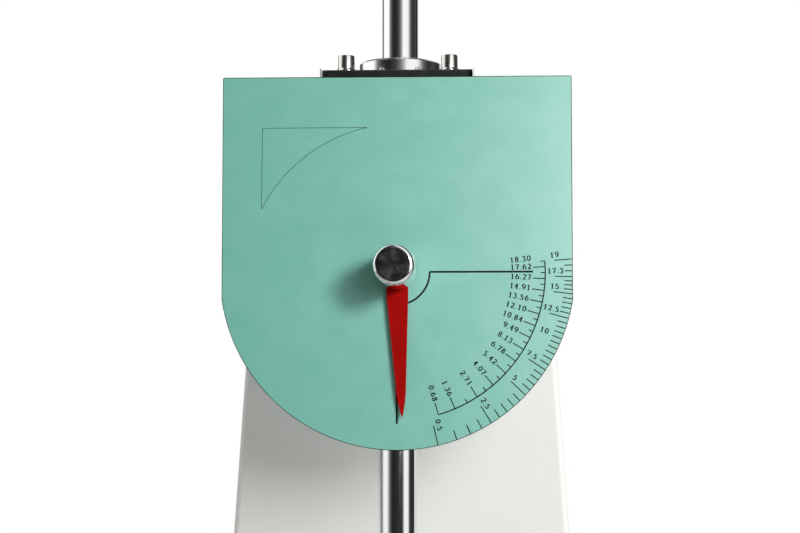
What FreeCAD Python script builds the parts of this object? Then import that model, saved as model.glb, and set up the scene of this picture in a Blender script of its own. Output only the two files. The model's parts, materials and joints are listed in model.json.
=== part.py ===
import FreeCAD, Part
import math
import os

# Pendulum heel impact tester, in millimetres.
# X points right and Y points back as seen from the dial, Z points up.
# The origin is on the floor, under the centre of the base plate.

X_AXIS = FreeCAD.Vector(1, 0, 0)
Y_AXIS = FreeCAD.Vector(0, 1, 0)
Z_AXIS = FreeCAD.Vector(0, 0, 1)

# Clearances and fits
shaft_fit = 0.04
slip_fit = 0.1
running_gap = 0.5
body_gap = 0.3
cut_reach = 1.0
close_enough = 1e-6

# Base plate and levelling feet
base_width = 600.0
base_depth = 460.0
base_thickness = 25.0
base_corner_radius = 30.0
base_chamfer = 3.0
floor_gap = 30.0
anchor_bore = 14.0
anchor_inset = 30.0
foot_inset_x = 80.0
foot_inset_y = 30.0
foot_stud_diameter = 16.0
foot_nut_width = 24.0
foot_nut_height = 10.0
foot_pad_diameter = 52.0
foot_pad_height = 15.0
foot_pad_top_diameter = 36.0
foot_socket_depth = 8.0

# Column of folded and welded sheet steel
head_top_above_pivot = 175.5
column_face_y = -22.0
column_depth = 172.0
column_top_width = 265.0
column_foot_width = 372.0
column_wall = 3.0
column_roof = 20.0
column_edge_radius = 6.0
column_flange_thickness = 10.0
column_flange_margin = 30.0
column_lip = 16.0
column_bolt_diameter = 12.0
column_bolt_spacing_y = 130.0
back_cover_thickness = 2.0
back_cover_margin = 3.0
cover_screw_diameter = 5.0
cover_screw_rows = 4

# Head bracket that carries the dial, and the black plate on top of it
head_width = 142.6
head_wall = 8.0
head_rear_wall = 12.0
head_roof = 18.0
head_above_pivot = 60.0
head_edge_radius = 5.0
head_screw_diameter = 8.0
head_screw_spacing_x = 90.0
head_screw_spacing_z = 60.0
top_plate_width = 139.0
top_plate_front_setback = 12.0
top_plate_depth = 176.0
top_plate_thickness = 12.0
top_plate_edge = 0.8
top_screw_spacing_x = 96.0
top_screw_front_inset = 15.0
top_screw_rear_inset = 20.0
top_screw_diameter = 10.0
top_screw_head_diameter = 15.6
top_screw_head_height = 12.6
top_screw_head_chamfer = 1.6
top_screw_reach = 26.0
top_washer_diameter = 19.6
top_washer_height = 3.2
top_washer_waist = 17.0

# Post and collar above the head
post_setback = 88.0
post_diameter = 35.0
post_above_plate = 144.0
post_chamfer = 2.0
collar_diameter = 79.0
collar_height = 18.4
collar_edge = 1.6
collar_screw_diameter = 6.0
eye_thread_diameter = 16.0
eye_thread_depth = 22.0
eye_foot_diameter = 30.0
eye_foot_height = 10.0
eye_ring_radius = 21.0
eye_wire_diameter = 12.0

# Dial plate
dial_setback = 98.0
dial_thickness = 2.0
dial_width = 320.0
dial_above_pivot = 178.7
dial_centre_drop = 1.1
dial_radius = 162.0
dial_bore = 24.0
dial_corner_radius = 1.2
dial_stud_diameter = 6.0
dial_stud_spacing_x = 96.0
dial_stud_spacing_z = 70.0
dial_nut_width = 10.0
dial_nut_height = 5.0

# Bearing group behind the dial
housing_diameter = 86.0
housing_length = 90.0
housing_flange_diameter = 110.0
housing_flange_thickness = 12.0
bearing_cover_thickness = 6.0
housing_screw_diameter = 6.0
housing_screw_circle = 97.0
housing_screw_count = 6
backing_width = 200.0
backing_thickness = 12.0
bearing_bore = 30.0
bearing_diameter = 62.0
bearing_width = 16.0
bearing_ball_diameter = 9.5
bearing_ball_count = 8
bearing_ring_thickness = 5.0
bearing_inset = 6.0
bearing_span = 58.0
shaft_spacer_diameter = 40.0
shaft_rear_overhang = 16.0
shaft_chamfer = 1.0
lock_nut_diameter = 45.0
lock_nut_width = 9.0

# Pendulum
pendulum_setback = 24.0
hub_diameter = 84.0
hub_width = 41.0
hub_boss_width = 64.0
hub_boss_reach = 76.0
hub_edge_radius = 2.0
key_width = 8.0
key_height = 7.0
key_length = 34.0
rod_diameter = 35.0
rod_top_below_pivot = 20.0
rod_in_hammer = 32.0
set_screw_diameter = 8.0
set_screw_length = 12.0
hammer_width = 60.0
hammer_depth = 56.0
hammer_top_above_striker = 58.0
hammer_height = 92.0
hammer_offset = 1.6
hammer_edge_radius = 5.0
striker_below_pivot = 458.0
striker_above_jaws = 74.7
striker_width = 40.0
striker_root_height = 30.0
striker_length = 24.0
striker_tip_radius = 4.0
striker_screw_diameter = 8.0
striker_thread_depth = 14.0

# Knob and shaft nose in front of the dial
nose_diameter = 16.0
knob_diameter = 37.0
knob_front_setout = 72.0
knob_back_setout = 8.5
knob_rim_radius = 4.2
knob_face_recess = 0.4
knob_end_wall = 6.0
knob_set_screw_diameter = 5.0
knob_set_screw_setback = 8.0

# Pointer
pointer_gap = 6.0
pointer_thickness = 1.5
pointer_root_radius = 20.0
pointer_root_width = 20.0
pointer_shoulder_radius = 111.0
pointer_shoulder_width = 8.5
pointer_tip_radius = 134.5
pointer_eye_diameter = 30.0
pointer_bush_diameter = 22.0
pointer_rest_angle = 2.2
wave_washer_diameter = 24.0
wave_washer_thickness = 0.4

# Heel vice
vice_centre_x = -55.0
pedestal_length = 200.0
pedestal_width = 110.0
pedestal_foot_height = 14.0
pedestal_column_diameter = 90.0
pedestal_column_height = 28.0
pedestal_neck_diameter = 56.0
pedestal_neck_height = 8.0
pedestal_edge_radius = 12.0
pedestal_screw_diameter = 8.0
pedestal_screw_inset = 14.0
guide_boss_diameter = 28.0
guide_spacing = 146.0
guide_pin_diameter = 12.0
guide_pin_length = 50.0
ring_nut_diameter = 100.0
ring_nut_height = 20.0
ring_nut_flutes = 12
ring_nut_flute_radius = 6.0
lift_screw_diameter = 36.0
lift_screw_length = 46.0
bed_above_ring = 6.0
bed_length = 190.0
bed_width = 90.0
bed_thickness = 22.0
bed_edge_radius = 4.0
jaw_height = 36.0
jaw_width = 80.0
fixed_jaw_length = 35.0
jaw_plate_thickness = 6.0
jaw_plate_height = 26.0
jaw_screw_diameter = 5.0
jaw_screw_spacing = 50.0
jaw_opening = 60.0
jaw_travel_in = 50.0
moving_jaw_length = 30.0
slot_width = 20.0
slot_depth = 12.0
screw_block_length = 20.0
screw_block_width = 60.0
vice_screw_diameter = 16.0
vice_screw_above_bed = 16.0
vice_screw_socket = 12.0
handwheel_gap = 5.0
handwheel_diameter = 66.0
handwheel_width = 18.0
handwheel_rim = 9.0
handwheel_web = 7.0
handwheel_hub_diameter = 26.0
handwheel_hole_diameter = 9.0
handwheel_hole_count = 5

# Places that follow from the sizes above
base_bottom_z = floor_gap
base_top_z = floor_gap + base_thickness
anchor_spacing_x = base_width - 2 * anchor_inset
anchor_spacing_y = base_depth - 2 * anchor_inset
foot_spacing_x = base_width - 2 * foot_inset_x
foot_spacing_y = base_depth - 2 * foot_inset_y
ring_seat_z = base_top_z + pedestal_column_height
ring_top_z = ring_seat_z + body_gap + ring_nut_height
bed_bottom_z = ring_top_z + bed_above_ring
bed_top_z = bed_bottom_z + bed_thickness
jaw_top_z = bed_top_z + jaw_height
pivot_height = jaw_top_z + striker_above_jaws + striker_below_pivot
hammer_top_below_pivot = striker_below_pivot - hammer_top_above_striker
rod_bottom_below_pivot = hammer_top_below_pivot + rod_in_hammer
column_back_y = column_face_y + column_depth
column_middle_y = column_face_y + column_depth / 2
dial_front_y = column_face_y - dial_setback
dial_back_y = dial_front_y + dial_thickness
dial_top_z = pivot_height + dial_above_pivot
head_top_z = pivot_height + head_top_above_pivot
head_bottom_z = pivot_height + head_above_pivot
hollow_top_z = head_top_z - column_roof
top_plate_top_z = head_top_z + top_plate_thickness
top_plate_front_y = dial_front_y + top_plate_front_setback
top_plate_back_y = top_plate_front_y + top_plate_depth
post_y = dial_front_y + post_setback
post_top_z = top_plate_top_z + post_above_plate
plane_y = dial_front_y + pendulum_setback
hub_front_y = plane_y - hub_width / 2
hub_back_y = plane_y + hub_width / 2
flange_front_y = column_face_y - housing_flange_thickness
cover_front_y = flange_front_y - bearing_cover_thickness
front_bearing_y = flange_front_y + bearing_inset
rear_bearing_y = front_bearing_y + bearing_width + bearing_span
housing_back_y = flange_front_y + housing_flange_thickness + housing_length
shaft_back_y = rear_bearing_y + bearing_width + shaft_rear_overhang
knob_front_y = dial_front_y - knob_front_setout
knob_back_y = dial_front_y - knob_back_setout
nose_front_y = knob_front_y + knob_end_wall
pointer_back_y = dial_front_y - pointer_gap
pointer_front_y = pointer_back_y - pointer_thickness
vice_screw_z = bed_top_z + vice_screw_above_bed
bed_left_x = vice_centre_x - bed_length / 2
bed_right_x = vice_centre_x + bed_length / 2
fixed_face_x = bed_left_x + fixed_jaw_length + jaw_plate_thickness
moving_face_x = fixed_face_x + jaw_opening
moving_jaw_x = moving_face_x + jaw_plate_thickness
moving_jaw_back_x = moving_jaw_x + moving_jaw_length
handwheel_x = bed_right_x + jaw_travel_in + handwheel_gap
vice_screw_end_x = handwheel_x + handwheel_width


def point(x, y, z):
    return FreeCAD.Vector(x, y, z)


def box(low, high):
    """Box between two corners."""
    size = high - low
    return Part.makeBox(size.x, size.y, size.z, low)


def rod(diameter, start, end):
    """Round bar from one point to another."""
    run = end - start
    return Part.makeCylinder(diameter / 2, run.Length, start, run)


def through(diameter, start, end):
    """Round bar that reaches a little past both points, to cut a clean hole."""
    reach = (end - start).normalize() * cut_reach
    return rod(diameter, start - reach, end + reach)


def tube(outer, inner, start, end):
    """Round tube from one point to another."""
    return rod(outer, start, end).cut(through(inner, start, end))


def turned(profile, origin, axis):
    """Turned piece: (distance along the axis, radius) points, revolved about the axis."""
    side = Z_AXIS if abs(axis.z) < 0.5 else X_AXIS
    corners = [origin + axis * along + side * radius for along, radius in profile]
    face = Part.Face(Part.makePolygon(corners + corners[:1]))
    return face.revolve(origin, axis, 360)


def hexagon(width, start, end):
    """Hexagon bar of the given width across flats."""
    run = end - start
    corner = width / 2 / math.cos(math.radians(30))
    side = X_AXIS if abs(run.x) < 0.5 else Y_AXIS
    across = run.cross(side).normalize()
    corners = []
    for index in range(6):
        turn = math.radians(60 * index)
        corners.append(start + side * corner * math.cos(turn) + across * corner * math.sin(turn))
    return Part.Face(Part.makePolygon(corners + corners[:1])).extrude(run)


def cap_screw(diameter, length, seat, direction):
    """Cap screw with a chamfered head on its seat, and its shank along the direction."""
    head_radius = diameter * 0.75
    chamfer = diameter * 0.12
    profile = [(-diameter, 0), (-diameter, head_radius - chamfer), (chamfer - diameter, head_radius)]
    profile += [(0, head_radius), (0, diameter / 2), (length, diameter / 2), (length, 0)]
    return turned(profile, seat, direction)


def group(solids):
    """Identical pieces kept together as separate solids."""
    return Part.makeCompound(solids)


def corners_of(spacing_x, spacing_y):
    """Four places about the centre, at a spacing each way."""
    halves = [(-0.5, -0.5), (0.5, -0.5), (0.5, 0.5), (-0.5, 0.5)]
    return [(spacing_x * x, spacing_y * y) for x, y in halves]


def edges_along(shape, axis, test):
    """Straight edges parallel to an axis whose middle passes the test."""
    picked = []
    for edge in shape.Edges:
        if len(edge.Vertexes) < 2:
            continue
        run = edge.Vertexes[1].Point - edge.Vertexes[0].Point
        if abs(abs(run.normalize().dot(axis)) - 1) < close_enough and test(edge.CenterOfMass):
            picked.append(edge)
    return picked


def rounded_box(low, high, radius, axis):
    """Box whose edges along one axis are rounded."""
    block = box(low, high)
    return block.makeFillet(radius, edges_along(block, axis, lambda middle: True))


def column_half_width(z):
    """Half width of the tapered column at a height."""
    rise = (z - base_top_z) / (head_top_z - base_top_z)
    return (column_foot_width + (column_top_width - column_foot_width) * rise) / 2


def column_prism(low_z, high_z, inset, low_y, high_y):
    """Solid between two heights that follows the column's slanted sides."""
    low = column_half_width(low_z) - inset
    high = column_half_width(high_z) - inset
    outline = [point(-low, low_y, low_z), point(low, low_y, low_z)]
    outline += [point(high, low_y, high_z), point(-high, low_y, high_z)]
    face = Part.Face(Part.makePolygon(outline + outline[:1]))
    return face.extrude(Y_AXIS * (high_y - low_y))


def base_plate():
    low = point(-base_width / 2, -base_depth / 2, base_bottom_z)
    high = point(base_width / 2, base_depth / 2, base_top_z)
    plate = rounded_box(low, high, base_corner_radius, Z_AXIS)
    top = [edge for edge in plate.Edges if edge.BoundBox.ZMin > base_top_z - close_enough]
    plate = plate.makeChamfer(base_chamfer, top)
    for x, y in corners_of(anchor_spacing_x, anchor_spacing_y):
        plate = plate.cut(through(anchor_bore, point(x, y, base_bottom_z), point(x, y, base_top_z)))
    for x, y in corners_of(foot_spacing_x, foot_spacing_y):
        bore = foot_stud_diameter + 2 * slip_fit
        plate = plate.cut(through(bore, point(x, y, base_bottom_z), point(x, y, base_top_z)))
    for x, y in column_bolt_places():
        low_z = base_bottom_z + base_chamfer
        plate = plate.cut(rod(column_bolt_diameter, point(x, y, low_z), point(x, y, base_top_z)))
    for x, y in pedestal_screw_places():
        low_z = base_top_z - 2 * pedestal_screw_diameter
        plate = plate.cut(rod(pedestal_screw_diameter, point(x, y, low_z), point(x, y, base_top_z)))
    return plate


def foot_pads():
    pads = []
    rim = foot_pad_height / 3
    profile = [(0, 0), (0, foot_pad_diameter / 2), (rim, foot_pad_diameter / 2)]
    profile += [(foot_pad_height, foot_pad_top_diameter / 2), (foot_pad_height, 0)]
    for x, y in corners_of(foot_spacing_x, foot_spacing_y):
        pad = turned(profile, point(x, y, 0), Z_AXIS)
        socket = rod(foot_stud_diameter, point(x, y, foot_pad_height - foot_socket_depth),
                     point(x, y, foot_pad_height))
        pads.append(pad.cut(socket))
    return group(pads)


def foot_studs():
    low_z = foot_pad_height - foot_socket_depth
    high_z = base_top_z + foot_nut_height + base_chamfer
    places = corners_of(foot_spacing_x, foot_spacing_y)
    return group([rod(foot_stud_diameter, point(x, y, low_z), point(x, y, high_z)) for x, y in places])


def foot_nuts():
    nuts = []
    for x, y in corners_of(foot_spacing_x, foot_spacing_y):
        for low_z in (base_bottom_z - foot_nut_height, base_top_z):
            low = point(x, y, low_z)
            high = point(x, y, low_z + foot_nut_height)
            nuts.append(hexagon(foot_nut_width, low, high).cut(rod(foot_stud_diameter, low, high)))
    return group(nuts)


def column_bolt_places():
    half = column_half_width(base_top_z) + column_flange_margin / 2
    halves = (-column_bolt_spacing_y / 2, column_bolt_spacing_y / 2)
    return [(side * half, column_middle_y + y) for side in (-1, 1) for y in halves]


def column_shell():
    """Folded sheet walls, with an opening in the back for the cover."""
    floor_z = base_top_z + column_flange_thickness
    shell = column_prism(floor_z, head_top_z, 0, column_face_y, column_back_y)
    front = [edge for edge in shell.Edges if abs(edge.CenterOfMass.y - column_face_y) < close_enough
             and edge.BoundBox.ZLength > column_depth]
    shell = shell.makeFillet(column_edge_radius, front)
    shell = shell.cut(column_prism(floor_z - cut_reach, head_top_z + cut_reach, column_wall,
                                   column_face_y + column_wall, column_back_y - column_wall))
    mouth = column_prism(floor_z + column_lip, hollow_top_z - column_lip, column_wall + column_lip,
                         column_back_y - 2 * column_wall, column_back_y + cut_reach)
    shell = shell.cut(mouth)
    bore = housing_diameter + 2 * slip_fit
    shell = shell.cut(through(bore, on_axis(column_face_y), on_axis(column_face_y + column_wall)))
    for x, z in housing_screw_places():
        bore = housing_screw_diameter + 2 * slip_fit
        start = point(x, column_face_y, z)
        shell = shell.cut(through(bore, start, start + Y_AXIS * column_wall))
    for x, z in head_screw_places():
        bore = head_screw_diameter + 2 * slip_fit
        start = point(x, column_face_y, z)
        shell = shell.cut(through(bore, start, start + Y_AXIS * column_wall))
    for x, z in cover_screw_places():
        start = point(x, column_back_y - 2 * column_wall, z)
        shell = shell.cut(rod(cover_screw_diameter, start, start + Y_AXIS * 3 * column_wall))
    return shell


def column_end_plates():
    """Roof plate welded into the top of the walls, and the foot plate under them."""
    roof = column_prism(hollow_top_z, head_top_z, column_wall, column_face_y + column_wall,
                        column_back_y - column_wall)
    for x, y in top_screw_places()[2:]:
        low_z = top_plate_top_z - top_screw_reach
        roof = roof.cut(rod(top_screw_diameter, point(x, y, low_z), point(x, y, head_top_z)))
    floor_z = base_top_z + column_flange_thickness
    half = column_half_width(base_top_z) + column_flange_margin
    foot = rounded_box(point(-half, column_face_y, base_top_z), point(half, column_back_y, floor_z),
                       column_edge_radius, Z_AXIS)
    for x, y in column_bolt_places():
        bore = column_bolt_diameter + 2 * slip_fit
        foot = foot.cut(through(bore, point(x, y, base_top_z), point(x, y, floor_z)))
    return group([roof, foot])


def column_bolts():
    seat_z = base_top_z + column_flange_thickness
    length = column_flange_thickness + base_thickness / 2
    return group([cap_screw(column_bolt_diameter, length, point(x, y, seat_z), -Z_AXIS)
                  for x, y in column_bolt_places()])


def cover_screw_places():
    """Screws down both edges of the back cover, in the middle of the column's lip."""
    low_z = base_top_z + column_flange_thickness + column_lip / 2
    high_z = head_top_z - column_roof - column_lip / 2
    places = []
    for row in range(cover_screw_rows):
        z = low_z + (high_z - low_z) * row / (cover_screw_rows - 1)
        x = column_half_width(z) - column_wall - column_lip / 2
        places += [(-x, z), (x, z)]
    return places


def back_cover():
    low_z = base_top_z + column_flange_thickness + back_cover_margin
    high_z = head_top_z - back_cover_margin
    cover = column_prism(low_z, high_z, back_cover_margin, column_back_y,
                         column_back_y + back_cover_thickness)
    for x, z in cover_screw_places():
        start = point(x, column_back_y - cut_reach, z)
        cover = cover.cut(rod(cover_screw_diameter + 2 * slip_fit, start, start + Y_AXIS * 2 * column_wall))
    return cover


def back_cover_screws():
    seat_y = column_back_y + back_cover_thickness
    length = back_cover_thickness + column_wall
    return group([cap_screw(cover_screw_diameter, length, point(x, seat_y, z), -Y_AXIS)
                  for x, z in cover_screw_places()])


def head_screw_places():
    middle_z = (head_bottom_z + head_top_z - head_roof) / 2
    return [(x, middle_z + z) for x, z in corners_of(head_screw_spacing_x, head_screw_spacing_z)]


def head_bracket():
    """Cast head, open below, with a middle rib and low lips beside the black plate."""
    front_y = dial_back_y
    low = point(-head_width / 2, front_y, head_bottom_z)
    high = point(head_width / 2, column_face_y, top_plate_top_z)
    bracket = box(low, high)
    uprights = edges_along(bracket, Z_AXIS, lambda middle: middle.y < (front_y + column_face_y) / 2)
    bracket = bracket.makeFillet(head_edge_radius, uprights)
    inner_y = column_face_y - head_rear_wall
    for side in (-1, 1):
        outer_x = side * (head_width / 2 - head_wall)
        rib_x = side * head_wall / 2
        room = box(point(min(outer_x, rib_x), front_y + head_wall, head_bottom_z - cut_reach),
                   point(max(outer_x, rib_x), inner_y, head_top_z - head_roof))
        bracket = bracket.cut(room)
    half = top_plate_width / 2 + slip_fit
    recess = box(point(-half, front_y - cut_reach, head_top_z),
                 point(half, column_face_y + cut_reach, top_plate_top_z + cut_reach))
    bracket = bracket.cut(recess)
    for x, y in top_screw_places()[:2]:
        low_z = top_plate_top_z - top_screw_reach
        bracket = bracket.cut(rod(top_screw_diameter, point(x, y, low_z), point(x, y, head_top_z)))
    for x, z in head_screw_places():
        start = point(x, inner_y - cut_reach, z)
        bracket = bracket.cut(rod(head_screw_diameter, start, point(x, column_face_y, z)))
    for x, z in dial_stud_places():
        start = point(x, dial_back_y, z)
        bore = dial_stud_diameter + 2 * slip_fit
        bracket = bracket.cut(rod(bore, start, start + Y_AXIS * 1.5 * head_wall))
    return bracket


def head_bracket_screws():
    seat_y = column_face_y + column_wall
    length = column_wall + head_rear_wall
    return group([cap_screw(head_screw_diameter, length, point(x, seat_y, z), -Y_AXIS)
                  for x, z in head_screw_places()])


def top_screw_places():
    front_y = top_plate_front_y + top_screw_front_inset
    rear_y = top_plate_back_y - top_screw_rear_inset
    half = top_screw_spacing_x / 2
    return [(-half, front_y), (half, front_y), (-half, rear_y), (half, rear_y)]


def top_plate():
    half = top_plate_width / 2
    plate = box(point(-half, top_plate_front_y, head_top_z), point(half, top_plate_back_y, top_plate_top_z))
    top = [edge for edge in plate.Edges if edge.BoundBox.ZMin > top_plate_top_z - close_enough]
    plate = plate.makeChamfer(top_plate_edge, top)
    bore = post_diameter + 2 * slip_fit
    plate = plate.cut(through(bore, point(0, post_y, head_top_z), point(0, post_y, top_plate_top_z)))
    for x, y in top_screw_places():
        bore = top_screw_diameter + 2 * slip_fit
        plate = plate.cut(through(bore, point(x, y, head_top_z), point(x, y, top_plate_top_z)))
    return plate


def top_plate_washers():
    """Thick washers whose foot flares outward."""
    washers = []
    bore = top_screw_diameter / 2 + slip_fit
    foot = top_washer_diameter / 2
    waist = top_washer_waist / 2
    profile = [(0, bore), (0, foot), (top_washer_height / 3, foot), (top_washer_height, waist)]
    profile += [(top_washer_height, bore)]
    for x, y in top_screw_places():
        washers.append(turned(profile, point(x, y, top_plate_top_z), Z_AXIS))
    return group(washers)


def top_plate_screws():
    screws = []
    seat_z = top_plate_top_z + top_washer_height
    head = top_screw_head_diameter / 2
    shank = top_screw_diameter / 2
    chamfer = top_screw_head_chamfer
    profile = [(-top_screw_reach - top_washer_height, 0), (-top_screw_reach - top_washer_height, shank)]
    profile += [(0, shank), (0, head), (top_screw_head_height - chamfer, head)]
    profile += [(top_screw_head_height, head - chamfer), (top_screw_head_height, 0)]
    for x, y in top_screw_places():
        screws.append(turned(profile, point(x, y, seat_z), Z_AXIS))
    return group(screws)


def post_collar():
    inner = post_diameter / 2 + slip_fit
    outer = collar_diameter / 2
    profile = [(0, inner), (0, outer), (collar_height - collar_edge, outer)]
    profile += [(collar_height, outer - collar_edge), (collar_height, inner)]
    collar = turned(profile, point(0, post_y, top_plate_top_z), Z_AXIS)
    for start, end in collar_screw_runs():
        collar = collar.cut(through(collar_screw_diameter, start, end))
    return collar


def collar_screw_runs():
    """Set screws through the collar towards the post, from the back and both sides."""
    z = top_plate_top_z + collar_height / 2
    middle = point(0, post_y, z)
    runs = []
    for toward in (Y_AXIS, X_AXIS, -X_AXIS):
        inner = middle + toward * (post_diameter / 2 + slip_fit)
        runs.append((middle + toward * (collar_diameter / 2), inner))
    return runs


def collar_screws():
    return group([rod(collar_screw_diameter, start + (end - start) * 0.05, end)
                  for start, end in collar_screw_runs()])


def lifting_post():
    top = post_top_z - head_top_z
    radius = post_diameter / 2
    profile = [(0, 0), (0, radius), (top - post_chamfer, radius), (top, radius - post_chamfer), (top, 0)]
    post = turned(profile, point(0, post_y, head_top_z), Z_AXIS)
    thread = rod(eye_thread_diameter, point(0, post_y, post_top_z - eye_thread_depth),
                 point(0, post_y, post_top_z))
    return post.cut(thread)


def lifting_eye():
    foot = point(0, post_y, post_top_z)
    centre = foot + Z_AXIS * (eye_foot_height + eye_ring_radius)
    stud = rod(eye_thread_diameter, foot - Z_AXIS * eye_thread_depth, foot)
    shoulder = rod(eye_foot_diameter, foot, foot + Z_AXIS * eye_foot_height)
    ring = Part.makeTorus(eye_ring_radius, eye_wire_diameter / 2, centre, Y_AXIS)
    return stud.fuse([shoulder, ring]).removeSplitter()


def dial_stud_places():
    middle_z = (head_bottom_z + head_top_z - head_roof) / 2
    return [(x, middle_z + z) for x, z in corners_of(dial_stud_spacing_x, dial_stud_spacing_z)]


def dial_plate():
    """Thin plate with a straight top and sides, and an arc below."""
    half = dial_width / 2
    y = dial_front_y
    centre_z = pivot_height - dial_centre_drop
    side_z = centre_z - math.sqrt(dial_radius ** 2 - half ** 2)
    left = point(-half, y, side_z)
    right = point(half, y, side_z)
    foot = point(0, y, centre_z - dial_radius)
    edges = [Part.Arc(left, foot, right).toShape()]
    edges.append(Part.makeLine(right, point(half, y, dial_top_z)))
    edges.append(Part.makeLine(point(half, y, dial_top_z), point(-half, y, dial_top_z)))
    edges.append(Part.makeLine(point(-half, y, dial_top_z), left))
    plate = Part.Face(Part.Wire(edges)).extrude(Y_AXIS * dial_thickness)
    corners = edges_along(plate, Y_AXIS, lambda middle: middle.z > dial_top_z - dial_width / 2)
    plate = plate.makeFillet(dial_corner_radius, corners)
    return plate.cut(through(dial_bore, on_axis(dial_front_y), on_axis(dial_back_y)))


def dial_studs():
    """Weld studs on the back of the dial, through the front wall of the head."""
    length = head_wall + 1.5 * dial_nut_height
    return group([rod(dial_stud_diameter, point(x, dial_back_y, z), point(x, dial_back_y + length, z))
                  for x, z in dial_stud_places()])


def dial_nuts():
    nuts = []
    for x, z in dial_stud_places():
        low = point(x, dial_back_y + head_wall, z)
        high = low + Y_AXIS * dial_nut_height
        nuts.append(hexagon(dial_nut_width, low, high).cut(rod(dial_stud_diameter, low, high)))
    return group(nuts)


def housing_screw_places():
    places = []
    for index in range(housing_screw_count):
        turn = 2 * math.pi * (index + 0.5) / housing_screw_count
        radius = housing_screw_circle / 2
        places.append((radius * math.cos(turn), pivot_height + radius * math.sin(turn)))
    return places


def on_axis(y):
    return point(0, y, pivot_height)


def bearing_backing():
    """Thick plate inside the column that takes the bearing housing screws."""
    half = backing_width / 2
    front_y = column_face_y + column_wall
    back_y = front_y + backing_thickness
    top_z = min(pivot_height + half, head_screw_low_z())
    plate = box(point(-half, front_y, pivot_height - half), point(half, back_y, top_z))
    bore = housing_diameter + 2 * slip_fit
    plate = plate.cut(rod(bore, on_axis(front_y - cut_reach), on_axis(back_y + cut_reach)))
    for x, z in housing_screw_places():
        plate = plate.cut(rod(housing_screw_diameter, point(x, front_y, z), point(x, back_y, z)))
    return plate


def head_screw_low_z():
    """Height just under the lower heads of the head bracket screws."""
    lowest = min(z for x, z in head_screw_places())
    return lowest - 1.5 * head_screw_diameter


def bearing_housing():
    """Flanged sleeve that passes through the column's face."""
    body = rod(housing_diameter, on_axis(flange_front_y), on_axis(housing_back_y))
    flange = rod(housing_flange_diameter, on_axis(flange_front_y), on_axis(column_face_y))
    housing = body.fuse(flange).removeSplitter()
    seat = bearing_diameter + 2 * slip_fit
    shoulder = bearing_diameter - 2 * bearing_ring_thickness
    front_seat = rod(seat, on_axis(flange_front_y - cut_reach), on_axis(front_bearing_y + bearing_width))
    rear_seat = rod(seat, on_axis(rear_bearing_y), on_axis(housing_back_y + cut_reach))
    middle = rod(shoulder, on_axis(flange_front_y - cut_reach), on_axis(housing_back_y + cut_reach))
    housing = housing.cut(front_seat).cut(rear_seat).cut(middle)
    for x, z in housing_screw_places():
        bore = housing_screw_diameter + 2 * slip_fit
        housing = housing.cut(through(bore, point(x, flange_front_y, z), point(x, column_face_y, z)))
    return housing


def bearing_cover():
    """Front cover whose spigot holds the front bearing's outer ring."""
    outer = housing_flange_diameter / 2
    inner = shaft_spacer_diameter / 2 + running_gap
    spigot = bearing_diameter / 2
    relief = bearing_diameter / 2 - bearing_ring_thickness
    thickness = bearing_cover_thickness
    depth = thickness + bearing_inset
    chamfer = thickness / 6
    profile = [(0, inner), (0, outer - chamfer), (chamfer, outer), (thickness, outer), (thickness, spigot)]
    profile += [(depth, spigot), (depth, relief), (thickness, relief), (thickness, inner)]
    cover = turned(profile, on_axis(cover_front_y), Y_AXIS)
    for x, z in housing_screw_places():
        bore = housing_screw_diameter + 2 * slip_fit
        cover = cover.cut(through(bore, point(x, cover_front_y, z), point(x, flange_front_y, z)))
    return cover


def housing_screws():
    length = bearing_cover_thickness + housing_flange_thickness + column_wall + backing_thickness
    return group([cap_screw(housing_screw_diameter, length, point(x, cover_front_y, z), Y_AXIS)
                  for x, z in housing_screw_places()])


def bearing_outer(front_y):
    outer = bearing_diameter / 2
    inner = outer - bearing_ring_thickness
    ring = tube(2 * outer, 2 * inner, on_axis(front_y), on_axis(front_y + bearing_width))
    return ring.cut(ball_track(front_y))


def bearing_inner(front_y):
    inner = bearing_bore / 2 + shaft_fit
    outer = bearing_bore / 2 + bearing_ring_thickness
    ring = tube(2 * outer, 2 * inner, on_axis(front_y), on_axis(front_y + bearing_width))
    return ring.cut(ball_track(front_y))


def ball_circle_radius():
    return (bearing_bore + bearing_diameter) / 4


def ball_track(front_y):
    middle = on_axis(front_y + bearing_width / 2)
    return Part.makeTorus(ball_circle_radius(), bearing_ball_diameter / 2 + shaft_fit, middle, Y_AXIS)


def bearing_balls(front_y):
    balls = []
    for index in range(bearing_ball_count):
        turn = 2 * math.pi * index / bearing_ball_count
        x = ball_circle_radius() * math.cos(turn)
        z = pivot_height + ball_circle_radius() * math.sin(turn)
        balls.append(Part.makeSphere(bearing_ball_diameter / 2, point(x, front_y + bearing_width / 2, z)))
    return group(balls)


def spacer(start_y, end_y):
    """Sleeve on the shaft between two shoulders."""
    return tube(shaft_spacer_diameter, bearing_bore + 2 * shaft_fit, on_axis(start_y), on_axis(end_y))


def key_box(clearance):
    """The hub key's space, half in the shaft and half in the hub."""
    half = key_width / 2 + clearance
    low_z = pivot_height + bearing_bore / 2 - key_height / 2
    front_y = plane_y - key_length / 2
    return box(point(-half, front_y - clearance, low_z - clearance),
               point(half, front_y + key_length + clearance, low_z + key_height + clearance))


def pendulum_shaft():
    """Main shaft with a thinner nose through the dial."""
    nose = nose_diameter / 2
    body = bearing_bore / 2
    step = hub_front_y - nose_front_y
    length = shaft_back_y - nose_front_y
    profile = [(0, 0), (0, nose - shaft_chamfer), (shaft_chamfer, nose), (step, nose), (step, body)]
    profile += [(length - shaft_chamfer, body), (length, body - shaft_chamfer), (length, 0)]
    shaft = turned(profile, on_axis(nose_front_y), Y_AXIS)
    return shaft.cut(key_box(shaft_fit))


def hub_key():
    return key_box(0)


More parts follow.
